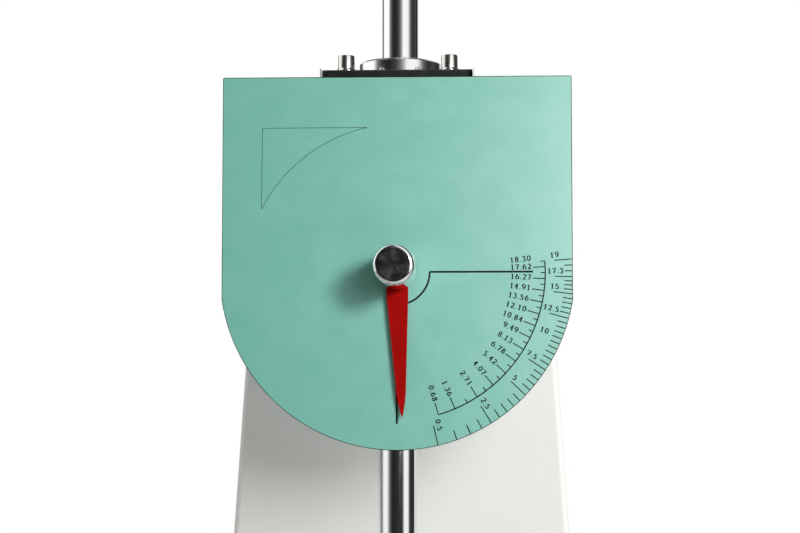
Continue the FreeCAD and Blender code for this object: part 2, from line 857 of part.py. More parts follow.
def pendulum_hub():
    """Keyed hub with a square boss that holds the pendulum rod."""
    hub = rod(hub_diameter, on_axis(hub_front_y), on_axis(hub_back_y))
    half = hub_boss_width / 2
    boss = rounded_box(point(-half, hub_front_y, pivot_height - hub_boss_reach),
                       point(half, hub_back_y, pivot_height), hub_edge_radius, Z_AXIS)
    hub = hub.fuse(boss).removeSplitter()
    hub = hub.cut(through(bearing_bore + 2 * shaft_fit, on_axis(hub_front_y), on_axis(hub_back_y)))
    top = point(0, plane_y, pivot_height - rod_top_below_pivot)
    bottom = point(0, plane_y, pivot_height - hub_boss_reach - cut_reach)
    hub = hub.cut(rod(rod_diameter + 2 * slip_fit, top, bottom))
    hub = hub.cut(key_box(shaft_fit))
    for start, end in hub_screw_runs():
        hub = hub.cut(through(set_screw_diameter, start, end))
    return hub


def hub_screw_runs():
    """Set screws from the right side of the boss to the rod."""
    runs = []
    room = hub_boss_reach - hub_diameter / 2
    for share in (0.3, 0.75):
        z = pivot_height - hub_diameter / 2 - room * share
        runs.append((point(hub_boss_width / 2, plane_y, z), point(rod_diameter / 2 + slip_fit, plane_y, z)))
    return runs


def hammer_screw_runs():
    """Set screws from the back of the hammer to the rod."""
    runs = []
    room = rod_bottom_below_pivot - hammer_top_below_pivot
    for share in (0.3, 0.7):
        z = pivot_height - hammer_top_below_pivot - room * share
        back = point(0, plane_y + hammer_depth / 2, z)
        runs.append((back, point(0, plane_y + rod_diameter / 2 + slip_fit, z)))
    return runs


def rod_set_screws():
    screws = []
    for start, end in hub_screw_runs() + hammer_screw_runs():
        run = end - start
        length = min(set_screw_length, 0.95 * run.Length)
        screws.append(rod(set_screw_diameter, end - run.normalize() * length, end))
    return group(screws)


def pendulum_rod():
    return rod(rod_diameter, point(0, plane_y, pivot_height - rod_bottom_below_pivot),
               point(0, plane_y, pivot_height - rod_top_below_pivot))


def hammer():
    """Hammer block with rounded edges, bored for the rod and the striker screw."""
    half_x = hammer_width / 2
    half_y = hammer_depth / 2
    top_z = pivot_height - hammer_top_below_pivot
    low = point(hammer_offset - half_x, plane_y - half_y, top_z - hammer_height)
    high = point(hammer_offset + half_x, plane_y + half_y, top_z)
    block = box(low, high)
    block = block.makeFillet(hammer_edge_radius, block.Edges)
    block = block.cut(rod(rod_diameter + 2 * slip_fit, point(0, plane_y, top_z + cut_reach),
                          point(0, plane_y, pivot_height - rod_bottom_below_pivot - slip_fit)))
    for start, end in hammer_screw_runs():
        block = block.cut(through(set_screw_diameter, start, end))
    striker = point(0, plane_y, pivot_height - striker_below_pivot)
    bore = striker_screw_diameter + 2 * slip_fit
    return block.cut(rod(bore, striker - X_AXIS * hammer_width, striker + X_AXIS * hammer_width))


def striker_face_x():
    return hammer_offset - hammer_width / 2


def striker():
    """Hardened nose that narrows to a rounded striking edge."""
    root_x = striker_face_x()
    tip_x = root_x - striker_length
    z = pivot_height - striker_below_pivot
    y = plane_y - striker_width / 2
    half = striker_root_height / 2
    radius = striker_tip_radius
    shoulder_x = tip_x + radius
    edges = [Part.makeLine(point(root_x, y, z - half), point(root_x, y, z + half))]
    edges.append(Part.makeLine(point(root_x, y, z + half), point(shoulder_x, y, z + radius)))
    edges.append(Part.Arc(point(shoulder_x, y, z + radius), point(tip_x, y, z),
                          point(shoulder_x, y, z - radius)).toShape())
    edges.append(Part.makeLine(point(shoulder_x, y, z - radius), point(root_x, y, z - half)))
    nose = Part.Face(Part.Wire(edges)).extrude(Y_AXIS * striker_width)
    centre = point(root_x, plane_y, z)
    return nose.cut(rod(striker_screw_diameter, centre - X_AXIS * striker_thread_depth, centre))


def striker_screw():
    z = pivot_height - striker_below_pivot
    seat = point(hammer_offset + hammer_width / 2, plane_y, z)
    return cap_screw(striker_screw_diameter, hammer_width + striker_thread_depth, seat, -X_AXIS)


def knob():
    """Polished knob with a round rim and a slightly sunk face."""
    radius = knob_diameter / 2
    body = rod(knob_diameter, on_axis(knob_front_y), on_axis(knob_back_y))
    front = [edge for edge in body.Edges if edge.BoundBox.YMax < knob_front_y + close_enough]
    body = body.makeFillet(knob_rim_radius, front)
    face = 2 * (radius - knob_rim_radius)
    body = body.cut(rod(face, on_axis(knob_front_y - cut_reach), on_axis(knob_front_y + knob_face_recess)))
    body = body.cut(rod(nose_diameter + 2 * shaft_fit, on_axis(nose_front_y), on_axis(knob_back_y)))
    start, end = knob_screw_run()
    return body.cut(through(knob_set_screw_diameter, start, end))


def knob_screw_run():
    y = knob_back_y - knob_set_screw_setback
    start = point(knob_diameter / 2, y, pivot_height)
    return start, point(nose_diameter / 2 + shaft_fit, y, pivot_height)


def knob_set_screw():
    start, end = knob_screw_run()
    return rod(knob_set_screw_diameter, start + (end - start) * 0.2, end)


def shaft_lock_nut():
    low = on_axis(rear_bearing_y + bearing_width)
    return tube(lock_nut_diameter, bearing_bore + 2 * shaft_fit, low, low + Y_AXIS * lock_nut_width)


def rest_turn(shape):
    """Turn a shape from straight down to where the pointer rests."""
    turned_shape = shape.copy()
    turned_shape.rotate(on_axis(0), Y_AXIS, -pointer_rest_angle)
    return turned_shape


def pointer_blade():
    """Flat tapered blade with a round eye and a pointed tip."""
    y = pointer_front_y
    eye = pointer_eye_diameter / 2
    half_root = pointer_root_width / 2
    half_shoulder = pointer_shoulder_width / 2
    root_z = pivot_height - pointer_root_radius
    shoulder_z = pivot_height - pointer_shoulder_radius
    tip = point(0, y, pivot_height - pointer_tip_radius)
    bulge_z = shoulder_z + (tip.z - shoulder_z) * 0.5
    bulge_x = half_shoulder * 0.62
    start_z = pivot_height - math.sqrt(max(eye ** 2 - half_root ** 2, 0))
    edges = [Part.makeLine(point(-half_root, y, start_z), point(-half_root, y, root_z))]
    edges.append(Part.makeLine(point(-half_root, y, root_z), point(-half_shoulder, y, shoulder_z)))
    edges.append(Part.Arc(point(-half_shoulder, y, shoulder_z), point(-bulge_x, y, bulge_z), tip).toShape())
    edges.append(Part.Arc(tip, point(bulge_x, y, bulge_z), point(half_shoulder, y, shoulder_z)).toShape())
    edges.append(Part.makeLine(point(half_shoulder, y, shoulder_z), point(half_root, y, root_z)))
    edges.append(Part.makeLine(point(half_root, y, root_z), point(half_root, y, start_z)))
    edges.append(Part.makeLine(point(half_root, y, start_z), point(-half_root, y, start_z)))
    blade = Part.Face(Part.Wire(edges)).extrude(Y_AXIS * pointer_thickness)
    disc = rod(pointer_eye_diameter, on_axis(pointer_front_y), on_axis(pointer_back_y))
    blade = blade.fuse(disc).removeSplitter()
    bore = nose_diameter + 2 * slip_fit
    blade = blade.cut(through(bore, on_axis(pointer_front_y), on_axis(pointer_back_y)))
    return rest_turn(blade)


def pointer_bush():
    """Bush behind the blade that turns on the shaft's nose."""
    bush = tube(pointer_bush_diameter, nose_diameter + 2 * shaft_fit, on_axis(pointer_back_y),
                on_axis(hub_front_y - running_gap))
    return bush


def wave_washer():
    """Spring washer that presses the pointer back and makes it drag."""
    back_y = pointer_front_y - body_gap
    return tube(wave_washer_diameter, nose_diameter + 2 * shaft_fit, on_axis(back_y - wave_washer_thickness),
                on_axis(back_y))


def vice_point(x, y, z):
    """Place measured from the vice's own upright axis."""
    return point(vice_centre_x + x, plane_y + y, z)


def pedestal_screw_places():
    inset = pedestal_screw_inset
    places = corners_of(pedestal_length - 2 * inset, pedestal_width - 2 * inset)
    return [(vice_centre_x + x, plane_y + y) for x, y in places]


def vice_pedestal():
    """Foot, round column with a neck for the ring nut, and two guide bosses."""
    foot_top_z = base_top_z + pedestal_foot_height
    foot = rounded_box(vice_point(-pedestal_length / 2, -pedestal_width / 2, base_top_z),
                       vice_point(pedestal_length / 2, pedestal_width / 2, foot_top_z),
                       pedestal_edge_radius, Z_AXIS)
    column = rod(pedestal_column_diameter, vice_point(0, 0, base_top_z), vice_point(0, 0, ring_seat_z))
    neck = rod(pedestal_neck_diameter, vice_point(0, 0, ring_seat_z),
               vice_point(0, 0, ring_seat_z + pedestal_neck_height))
    boss_top_z = bed_bottom_z - bed_above_ring / 2
    bosses = [rod(guide_boss_diameter, vice_point(x, 0, base_top_z), vice_point(x, 0, boss_top_z))
              for x in (-guide_spacing / 2, guide_spacing / 2)]
    pedestal = foot.fuse([column, neck] + bosses).removeSplitter()
    bore = lift_screw_diameter + 2 * running_gap
    pedestal = pedestal.cut(through(bore, vice_point(0, 0, base_top_z), vice_point(0, 0, bed_bottom_z)))
    for x in (-guide_spacing / 2, guide_spacing / 2):
        bore = guide_pin_diameter + 2 * shaft_fit
        pedestal = pedestal.cut(through(bore, vice_point(x, 0, base_top_z), vice_point(x, 0, bed_bottom_z)))
    for x, y in pedestal_screw_places():
        bore = pedestal_screw_diameter + 2 * slip_fit
        pedestal = pedestal.cut(through(bore, point(x, y, base_top_z), point(x, y, foot_top_z)))
    return pedestal


def pedestal_screws():
    seat_z = base_top_z + pedestal_foot_height
    length = pedestal_foot_height + 1.5 * pedestal_screw_diameter
    return group([cap_screw(pedestal_screw_diameter, length, point(x, y, seat_z), -Z_AXIS)
                  for x, y in pedestal_screw_places()])


def elevating_ring():
    """Fluted ring nut that turns on the pedestal's neck and lifts the screw."""
    low_z = ring_seat_z + body_gap
    ring = rod(ring_nut_diameter, vice_point(0, 0, low_z), vice_point(0, 0, ring_top_z))
    rims = [edge for edge in ring.Edges if len(edge.Vertexes) == 1]
    ring = ring.makeChamfer(body_gap * 5, rims)
    for index in range(ring_nut_flutes):
        turn = 2 * math.pi * (index + 0.5) / ring_nut_flutes
        x = ring_nut_diameter / 2 * math.cos(turn)
        y = ring_nut_diameter / 2 * math.sin(turn)
        ring = ring.cut(through(2 * ring_nut_flute_radius, vice_point(x, y, low_z),
                                vice_point(x, y, ring_top_z)))
    thread = lift_screw_diameter + 2 * shaft_fit
    ring = ring.cut(through(thread, vice_point(0, 0, low_z), vice_point(0, 0, ring_top_z)))
    pocket = pedestal_neck_diameter + 2 * shaft_fit
    pocket_top_z = ring_seat_z + pedestal_neck_height + body_gap
    return ring.cut(rod(pocket, vice_point(0, 0, low_z - cut_reach), vice_point(0, 0, pocket_top_z)))


def lift_screw():
    return rod(lift_screw_diameter, vice_point(0, 0, bed_bottom_z - lift_screw_length),
               vice_point(0, 0, bed_bottom_z))


def guide_pins():
    return group([rod(guide_pin_diameter, vice_point(x, 0, bed_bottom_z - guide_pin_length),
                      vice_point(x, 0, bed_bottom_z)) for x in (-guide_spacing / 2, guide_spacing / 2)])


def vice_bed():
    """Bed with the fixed jaw at its left end, a slot, and the screw block at its right end."""
    half = bed_width / 2
    bed = box(point(bed_left_x, plane_y - half, bed_bottom_z), point(bed_right_x, plane_y + half, bed_top_z))
    jaw = box(point(bed_left_x, plane_y - jaw_width / 2, bed_bottom_z),
              point(bed_left_x + fixed_jaw_length, plane_y + jaw_width / 2, jaw_top_z))
    top = edges_along(jaw, Y_AXIS, lambda middle: middle.z > jaw_top_z - close_enough
                      and middle.x < bed_left_x + close_enough)
    jaw = jaw.makeFillet(bed_edge_radius * 2, top)
    block = box(point(bed_right_x - screw_block_length, plane_y - screw_block_width / 2, bed_bottom_z),
                point(bed_right_x, plane_y + screw_block_width / 2, jaw_top_z))
    top = [edge for edge in block.Edges
           if edge.BoundBox.ZMin > jaw_top_z - close_enough and edge.BoundBox.YLength < close_enough]
    block = block.makeFillet(bed_edge_radius * 2, top)
    bed = bed.fuse([jaw, block]).removeSplitter()
    slot = box(point(fixed_face_x, plane_y - slot_width / 2, bed_top_z - slot_depth),
               point(bed_right_x - screw_block_length, plane_y + slot_width / 2, bed_top_z))
    bed = bed.cut(slot)
    bore = vice_screw_diameter + 2 * shaft_fit
    start = point(bed_right_x - screw_block_length, plane_y, vice_screw_z)
    return bed.cut(through(bore, start, start + X_AXIS * screw_block_length))


def jaw_plate_screw_places(face_x):
    z = bed_top_z + (jaw_height + jaw_plate_height) / 2 - jaw_plate_height / 2
    half = jaw_screw_spacing / 2
    return [point(face_x, plane_y - half, z), point(face_x, plane_y + half, z)]


def jaw_plate(face_x, toward):
    """Hard plate on a jaw's face, with counterbored holes; toward points out of the jaw."""
    back_x = face_x - toward * jaw_plate_thickness
    low = point(min(face_x, back_x), plane_y - jaw_width / 2, jaw_top_z - jaw_plate_height)
    high = point(max(face_x, back_x), plane_y + jaw_width / 2, jaw_top_z)
    plate = box(low, high)
    for place in jaw_plate_screw_places(face_x):
        plate = plate.cut(rod(2 * jaw_screw_diameter, place + X_AXIS * toward,
                              place - X_AXIS * toward * jaw_plate_thickness / 2))
        plate = plate.cut(rod(jaw_screw_diameter + 2 * slip_fit, place + X_AXIS * toward,
                              place - X_AXIS * toward * (jaw_plate_thickness + cut_reach)))
    return plate


def jaw_screws(face_x, toward):
    screws = []
    head = 1.8 * jaw_screw_diameter
    for place in jaw_plate_screw_places(face_x):
        inward = X_AXIS * -toward
        seat = place + inward * (jaw_plate_thickness / 2)
        shank = rod(jaw_screw_diameter, seat, seat + inward * jaw_plate_thickness * 2)
        screws.append(rod(head, place + inward * slip_fit, seat).fuse(shank).removeSplitter())
    return screws


def cut_screw_threads(shape, face_x, toward):
    """Holes in a jaw for its plate's screws."""
    for place in jaw_plate_screw_places(face_x):
        seat = place - X_AXIS * toward * (jaw_plate_thickness / 2)
        shape = shape.cut(rod(jaw_screw_diameter, seat, seat - X_AXIS * toward * jaw_plate_thickness * 2))
    return shape


def moving_jaw():
    """Jaw block with a tongue in the bed's slot and a socket for the screw's end."""
    low_z = bed_top_z + body_gap
    half = jaw_width / 2
    low = point(moving_jaw_x, plane_y - half, low_z)
    jaw = box(low, point(moving_jaw_back_x, plane_y + half, jaw_top_z))
    top = edges_along(jaw, Y_AXIS, lambda middle: middle.z > jaw_top_z - close_enough
                      and middle.x > moving_jaw_back_x - close_enough)
    jaw = jaw.makeFillet(bed_edge_radius * 2, top)
    tongue = slot_width / 2 - shaft_fit
    jaw = jaw.fuse(box(point(moving_jaw_x, plane_y - tongue, bed_top_z - slot_depth + body_gap),
                       point(moving_jaw_back_x, plane_y + tongue, low_z))).removeSplitter()
    bore = vice_screw_diameter + 2 * shaft_fit
    start = point(moving_jaw_back_x - vice_screw_socket - body_gap, plane_y, vice_screw_z)
    jaw = jaw.cut(rod(bore, start, start + X_AXIS * 2 * vice_screw_socket))
    return cut_screw_threads(jaw, moving_face_x, -1)


def vice_screw():
    start = point(moving_jaw_back_x - vice_screw_socket, plane_y, vice_screw_z)
    end = point(vice_screw_end_x, plane_y, vice_screw_z)
    return rod(vice_screw_diameter, start, end)


def handwheel():
    """Handwheel with a rim, a thinner web with round holes, and a hub on the screw's end."""
    rim = handwheel_diameter / 2
    rim_inner = rim - handwheel_rim
    hub = handwheel_hub_diameter / 2
    bore = vice_screw_diameter / 2 + slip_fit
    near = (handwheel_width - handwheel_web) / 2
    far = near + handwheel_web
    edge = handwheel_rim / 3
    profile = [(0, bore), (0, hub), (near, hub), (near, rim_inner), (edge, rim_inner), (edge, rim - edge)]
    profile += [(2 * edge, rim), (handwheel_width - 2 * edge, rim), (handwheel_width - edge, rim - edge)]
    profile += [(handwheel_width - edge, rim_inner), (far, rim_inner), (far, hub), (handwheel_width, hub)]
    profile += [(handwheel_width, bore)]
    wheel = turned(profile, point(handwheel_x, plane_y, vice_screw_z), X_AXIS)
    circle = (rim_inner + hub) / 2
    for index in range(handwheel_hole_count):
        turn = 2 * math.pi * index / handwheel_hole_count
        y = plane_y + circle * math.cos(turn)
        z = vice_screw_z + circle * math.sin(turn)
        wheel = wheel.cut(through(handwheel_hole_diameter, point(handwheel_x, y, z),
                                  point(vice_screw_end_x, y, z)))
    return wheel


def all_nodes():
    """Every piece of the tester by its node name."""
    nodes = {}
    nodes["base_plate"] = base_plate()
    nodes["foot_pads"] = foot_pads()
    nodes["foot_studs"] = foot_studs()
    nodes["foot_nuts"] = foot_nuts()
    nodes["column_shell"] = column_shell()
    nodes["column_end_plates"] = column_end_plates()
    nodes["column_bolts"] = column_bolts()
    nodes["back_cover"] = back_cover()
    nodes["back_cover_screws"] = back_cover_screws()
    nodes["head_bracket"] = head_bracket()
    nodes["head_bracket_screws"] = head_bracket_screws()
    nodes["top_plate"] = top_plate()
    nodes["top_plate_washers"] = top_plate_washers()
    nodes["top_plate_screws"] = top_plate_screws()
    nodes["post_collar"] = post_collar()
    nodes["collar_screws"] = collar_screws()
    nodes["lifting_post"] = lifting_post()
    nodes["lifting_eye"] = lifting_eye()
    nodes["dial_plate"] = dial_plate()
    nodes["dial_studs"] = dial_studs()
    nodes["dial_nuts"] = dial_nuts()
    nodes["bearing_backing"] = bearing_backing()
    nodes["bearing_housing"] = bearing_housing()
    nodes["bearing_cover"] = bearing_cover()
    nodes["housing_screws"] = housing_screws()
    for name, front_y in (("front_bearing", front_bearing_y), ("rear_bearing", rear_bearing_y)):
        nodes[name + "_outer"] = bearing_outer(front_y)
        nodes[name + "_inner"] = bearing_inner(front_y)
        nodes[name + "_balls"] = bearing_balls(front_y)
    nodes["front_spacer"] = spacer(hub_back_y, front_bearing_y)
    nodes["middle_spacer"] = spacer(front_bearing_y + bearing_width, rear_bearing_y)
    nodes["shaft_lock_nut"] = shaft_lock_nut()
    nodes["pendulum_shaft"] = pendulum_shaft()
    nodes["hub_key"] = hub_key()
    nodes["pendulum_hub"] = pendulum_hub()
    nodes["rod_set_screws"] = rod_set_screws()
    nodes["pendulum_rod"] = pendulum_rod()
    nodes["hammer"] = hammer()
    nodes["striker"] = striker()
    nodes["striker_screw"] = striker_screw()
    nodes["knob"] = knob()
    nodes["knob_set_screw"] = knob_set_screw()
    nodes["pointer_blade"] = pointer_blade()
    nodes["pointer_bush"] = pointer_bush()
    nodes["wave_washer"] = wave_washer()
    nodes["vice_pedestal"] = vice_pedestal()
    nodes["pedestal_screws"] = pedestal_screws()
    nodes["elevating_ring"] = elevating_ring()
    nodes["lift_screw"] = lift_screw()
    nodes["guide_pins"] = guide_pins()
    nodes["vice_bed"] = cut_screw_threads(vice_bed(), fixed_face_x, 1)
    nodes["fixed_jaw_plate"] = jaw_plate(fixed_face_x, 1)
    nodes["moving_jaw_plate"] = jaw_plate(moving_face_x, -1)
    nodes["fixed_jaw_screws"] = group(jaw_screws(fixed_face_x, 1))
    nodes["moving_jaw_screws"] = group(jaw_screws(moving_face_x, -1))
    nodes["moving_jaw"] = moving_jaw()
    nodes["vice_screw"] = vice_screw()
    nodes["handwheel"] = handwheel()
    return nodes


os.makedirs("parts", exist_ok=True)
for node_name, node_shape in all_nodes().items():
    node_shape.exportStep("parts/" + node_name + ".step")
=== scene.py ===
import json
import math

import bmesh
import bpy
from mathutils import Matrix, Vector


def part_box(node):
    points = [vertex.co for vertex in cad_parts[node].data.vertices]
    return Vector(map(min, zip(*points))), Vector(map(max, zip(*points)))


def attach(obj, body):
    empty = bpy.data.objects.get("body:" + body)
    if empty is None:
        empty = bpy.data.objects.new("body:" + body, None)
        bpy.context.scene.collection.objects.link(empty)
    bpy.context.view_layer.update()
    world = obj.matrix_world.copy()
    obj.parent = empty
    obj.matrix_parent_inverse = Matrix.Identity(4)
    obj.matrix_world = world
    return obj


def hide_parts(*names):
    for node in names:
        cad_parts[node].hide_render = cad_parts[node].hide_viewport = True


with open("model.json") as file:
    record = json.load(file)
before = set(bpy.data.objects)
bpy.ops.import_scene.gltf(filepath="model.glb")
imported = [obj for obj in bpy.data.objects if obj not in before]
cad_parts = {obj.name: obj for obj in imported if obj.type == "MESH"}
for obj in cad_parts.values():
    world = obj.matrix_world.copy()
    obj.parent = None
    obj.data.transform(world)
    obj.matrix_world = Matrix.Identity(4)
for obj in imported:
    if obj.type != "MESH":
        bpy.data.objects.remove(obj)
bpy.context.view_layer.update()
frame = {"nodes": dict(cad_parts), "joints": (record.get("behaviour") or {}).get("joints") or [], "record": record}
nodes = frame["nodes"]
slots = {part["node"]: part["material_slot"] for part in frame["record"]["subparts"]}

# Places taken from the frame, in metres
MM = 0.001
swing = next(joint for joint in frame["joints"] if joint["name"] == "pendulum_swing")
pivot_z = swing["pos_m"][2]
dial_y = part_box("dial_plate")[0].y
pivot_on_dial = Vector((0, dial_y, pivot_z))

# Camera, placed from the pivot on the dial's front face
photo_width = 800
focal_pixels = 2009
sensor_width = 36.0
camera_offset = Vector((0.0743, -1.823, -0.1417))
camera_yaw = math.radians(2.241)
camera_pitch = math.radians(4.563)

# Printed scale, in millimetres from the print's centre and degrees from straight down
print_drop = 1.1
print_centre = pivot_on_dial - Vector((0, 0, print_drop * MM))
ink_height = 0.05 * MM
arc_step = 1.5
tick_width = 0.95
arc_width = 1.15
thick_line_width = 1.75
outline_width = 0.42
border_width = 0.60
zero_arc_radius = 30.0
level_line_end = 124.0
zero_line_end = 138.0
outline_corner = Vector((-123.5, 0, 132.7)) * MM
outline_right = Vector((-27.0, 0, 133.0)) * MM
outline_bottom = Vector((-123.9, 0, 58.2)) * MM
outline_bend = Vector((-92.2, 0, 99.5)) * MM
pendulum_moment = 17.08
inner_step = 0.678
inner_count = 27
inner_radius = 135.0
inner_major_length = 11.2
inner_minor_length = 4.2
inner_first_angle = 16.4
inner_label_radius = 122.0
inner_label_turn = 0.4
inner_last_label_turn = 1.7
outer_major_radius = 143.5
outer_minor_radius = 152.5
outer_edge_margin = 0.4
outer_label_radius = 144.0
outer_label_turn = 2.0
dial_arc_radius = 162.0
dial_half_width = 160.0

# Digits: height in millimetres, and the rest in parts of the height
digit_height = 4.9
digit_width = 0.60
digit_advance = 0.90
digit_stretch = 1.08
point_advance = 0.44
digit_thin = 0.125
digit_thick = 0.235

# Scale marks: label, degrees, and how many ticks follow before the next one
outer_scale = [("0.5", 13.4, 3), ("2.5", 32.0, 4), ("5", 46.1, 4), ("7.5", 56.4, 9), ("12.5", 74.7, 4),
               ("15", 82.7, 3), ("17.3", 88.3, 2), ("19", 94.1, 0)]
outer_label_between = ("10", 66.4)
inner_labels = {1: "0.68", 2: "1.36", 4: "2.71", 6: "4.07", 8: "5.42", 10: "6.78", 12: "8.13", 14: "9.49",
                16: "10.84", 18: "12.10", 20: "13.56", 22: "14.91", 24: "16.27", 26: "17.62", 27: "18.30"}

# Cap screws, in shares of the head's radius, and sockets in shares of the head's height
screw_sides = 24
key_share = 0.5
socket_depth_share = 0.55
head_edge_share = 0.16

# Threads: pitch in millimetres, rings in each turn, and shares of the pitch or the radius
foot_stud_pitch = 2.0
lift_screw_pitch = 5.0
vice_screw_pitch = 4.0
rings_per_turn = 8
thread_depth_share = 0.32
thread_chamfer_share = 0.12

# Lamps: offset from the pivot on the dial, size in metres, watts, and whether what mirrors shows them
lamps = {
    "key_softbox": ((1.18, -2.06, 0.56), (0.5, 0.5), 46, True),
    "sheen_softbox": ((0.70, -1.94, 0.20), (0.5, 0.5), 9.5, True),
    "left_fill": ((-1.9, -1.6, 0.5), (1.2, 1.6), 1.5, False),
    "top_fill": ((0, -0.4, 1.9), (1.6, 1.6), 3, False),
    "left_rim": ((-2.0, 0.4, 0.1), (1.0, 1.4), 14, False),
    "back_fill": ((0.5, 2.2, 0.6), (1.4, 1.4), 26, False),
    "wide_softbox": ((1.74, -1.46, 0.86), (1.8, 1.5), 68, False),
}
room_colour = (1.0, 0.98, 0.93, 1)
room_strength = 0.08

# Softbox bands that what mirrors shows, as degrees to the right of the front and brightness
high_bands = [(-180, 1.0), (-165, 1.0), (-154, 0.08), (-136, 0.08), (-122, 1.25), (-80, 1.25),
              (-66, 0.22), (-52, 0.04), (-30, 0.02), (-10, 0.06), (2, 0.2), (9, 0.4), (15, 0.75),
              (21, 1.1), (48, 1.1), (56, 0.8), (62, 0.38), (70, 0.12), (86, 0.03), (108, 0.07),
              (128, 0.02), (142, 0.1), (152, 1.0), (180, 1.0)]
low_bands = [(-180, 1.0), (-165, 1.0), (-154, 0.1), (-116, 0.15), (-103, 0.4), (-92, 1.0), (-66, 1.1),
             (-58, 0.62), (-50, 0.25), (-38, 0.05), (-28, 0.02), (26, 0.02), (32, 0.09), (40, 0.8),
             (46, 1.1), (66, 1.0), (76, 0.12), (86, 0.03), (130, 0.03), (152, 1.0), (180, 1.0)]

# The low bands pass into the high ones between these sines of the angle above level
low_bands_top = 0.02
high_bands_foot = 0.12

# Floor
floor_radius = 2.6
floor_grey = 0.62
floor_glow = 0.5
floor_fade_start = 0.7
floor_fade_end = 2.3


def bow(x, y, across, up, start, end):
    """Points on an oval arc, in parts of a digit's height."""
    steps = 16
    turns = [math.radians(start + (end - start) * index / steps) for index in range(steps + 1)]
    return [(x + across * math.cos(turn), y + up * math.sin(turn)) for turn in turns]


six = [bow(0.50, 0.33, 0.44, 0.62, 98, 180), bow(0.30, 0.31, 0.24, 0.28, 180, 540)]
digit_strokes = {
    "0": [bow(0.30, 0.50, 0.24, 0.46, 90, 450)],
    "1": [[(0.13, 0.80), (0.31, 0.94)], [(0.31, 0.96), (0.31, 0.03)], [(0.13, 0.03), (0.49, 0.03)]],
    "2": [bow(0.29, 0.70, 0.21, 0.26, 165, -35) + [(0.08, 0.05)],
          [(0.06, 0.04), (0.52, 0.04), (0.55, 0.20)]],
    "3": [bow(0.27, 0.74, 0.19, 0.22, 160, -90), bow(0.27, 0.27, 0.23, 0.25, 90, -155)],
    "4": [[(0.40, 0.03), (0.40, 0.96)], [(0.40, 0.95), (0.05, 0.32)], [(0.04, 0.31), (0.56, 0.31)],
          [(0.27, 0.03), (0.53, 0.03)]],
    "5": [[(0.48, 0.94), (0.15, 0.94)], [(0.15, 0.95), (0.12, 0.55)],
          bow(0.27, 0.31, 0.23, 0.28, 130, -150)],
    "6": six,
    "7": [[(0.06, 0.78), (0.08, 0.94)], [(0.07, 0.94), (0.54, 0.94)], [(0.53, 0.95), (0.25, 0.03)]],
    "8": [bow(0.29, 0.74, 0.18, 0.21, 90, 450), bow(0.29, 0.28, 0.22, 0.25, 90, 450)],
    "9": [[(digit_width - x, 1 - y) for x, y in stroke] for stroke in six],
    ".": [[(0.10, 0.0), (0.10, 0.13)]],
}


def link(obj):
    bpy.context.scene.collection.objects.link(obj)
    return obj


def make_camera():
    data = bpy.data.cameras.new("photo_camera")
    data.sensor_width = sensor_width
    data.lens = sensor_width * focal_pixels / photo_width
    data.clip_start = 0.01
    data.clip_end = 50
    camera = link(bpy.data.objects.new("photo_camera", data))
    camera.location = pivot_on_dial + camera_offset
    camera.rotation_euler = (math.pi / 2 + camera_pitch, 0, camera_yaw)
    bpy.context.scene.camera = camera


class Nodes:
    """A node tree and short ways to add to it."""

    def __init__(self, tree):
        self.tree = tree

    def node(self, kind, inputs=None, **settings):
        """New node; inputs gives a value or another node's output to sockets by name or number."""
        made = self.tree.nodes.new(kind)
        for name, value in settings.items():
            setattr(made, name, value)
        for socket, value in (inputs or {}).items():
            if isinstance(value, bpy.types.NodeSocket):
                self.join(value, made.inputs[socket])
            else:
                made.inputs[socket].default_value = value
        return made

    def join(self, output, socket):
        self.tree.links.new(output, socket)

    def combine(self, operation, *values):
        """Sum, product or the like of numbers and outputs."""
        return self.node("ShaderNodeMath", dict(enumerate(values)), operation=operation).outputs["Value"]

    def ramp(self, value, stops):
        """Colour ramp whose stops are (place, grey or colour)."""
        ramp = self.node("ShaderNodeValToRGB", {"Fac": value})
        points = ramp.color_ramp.elements
        for index, (place, colour) in enumerate(stops):
            point = points[index] if index < 2 else points.new(place)
            point.position = place
            shade = (colour, colour, colour) if isinstance(colour, (int, float)) else colour
            point.color = (*shade, 1)
        return ramp.outputs["Color"]

    def span(self, value, low, high, from_low=0.3, from_high=0.7):
        """A value stretched to run from low to high; noise lies between 0.3 and 0.7."""
        ends = {"From Min": from_low, "From Max": from_high, "To Min": low, "To Max": high}
        return self.node("ShaderNodeMapRange", {**ends, "Value": value}).outputs["Result"]

    def mix(self, amount, first, second):
        """Colour mix, by an amount from a node."""
        first, second = [(*shade, 1) if isinstance(shade, tuple) else shade for shade in (first, second)]
        return self.node("ShaderNodeMix", {6: first, 7: second, 0: amount}, data_type="RGBA").outputs[2]

    def blend(self, amount, first, second):
        """Mix of two shader nodes, by an amount from a node."""
        return self.node("ShaderNodeMixShader", {0: amount, 1: first.outputs[0], 2: second.outputs[0]})


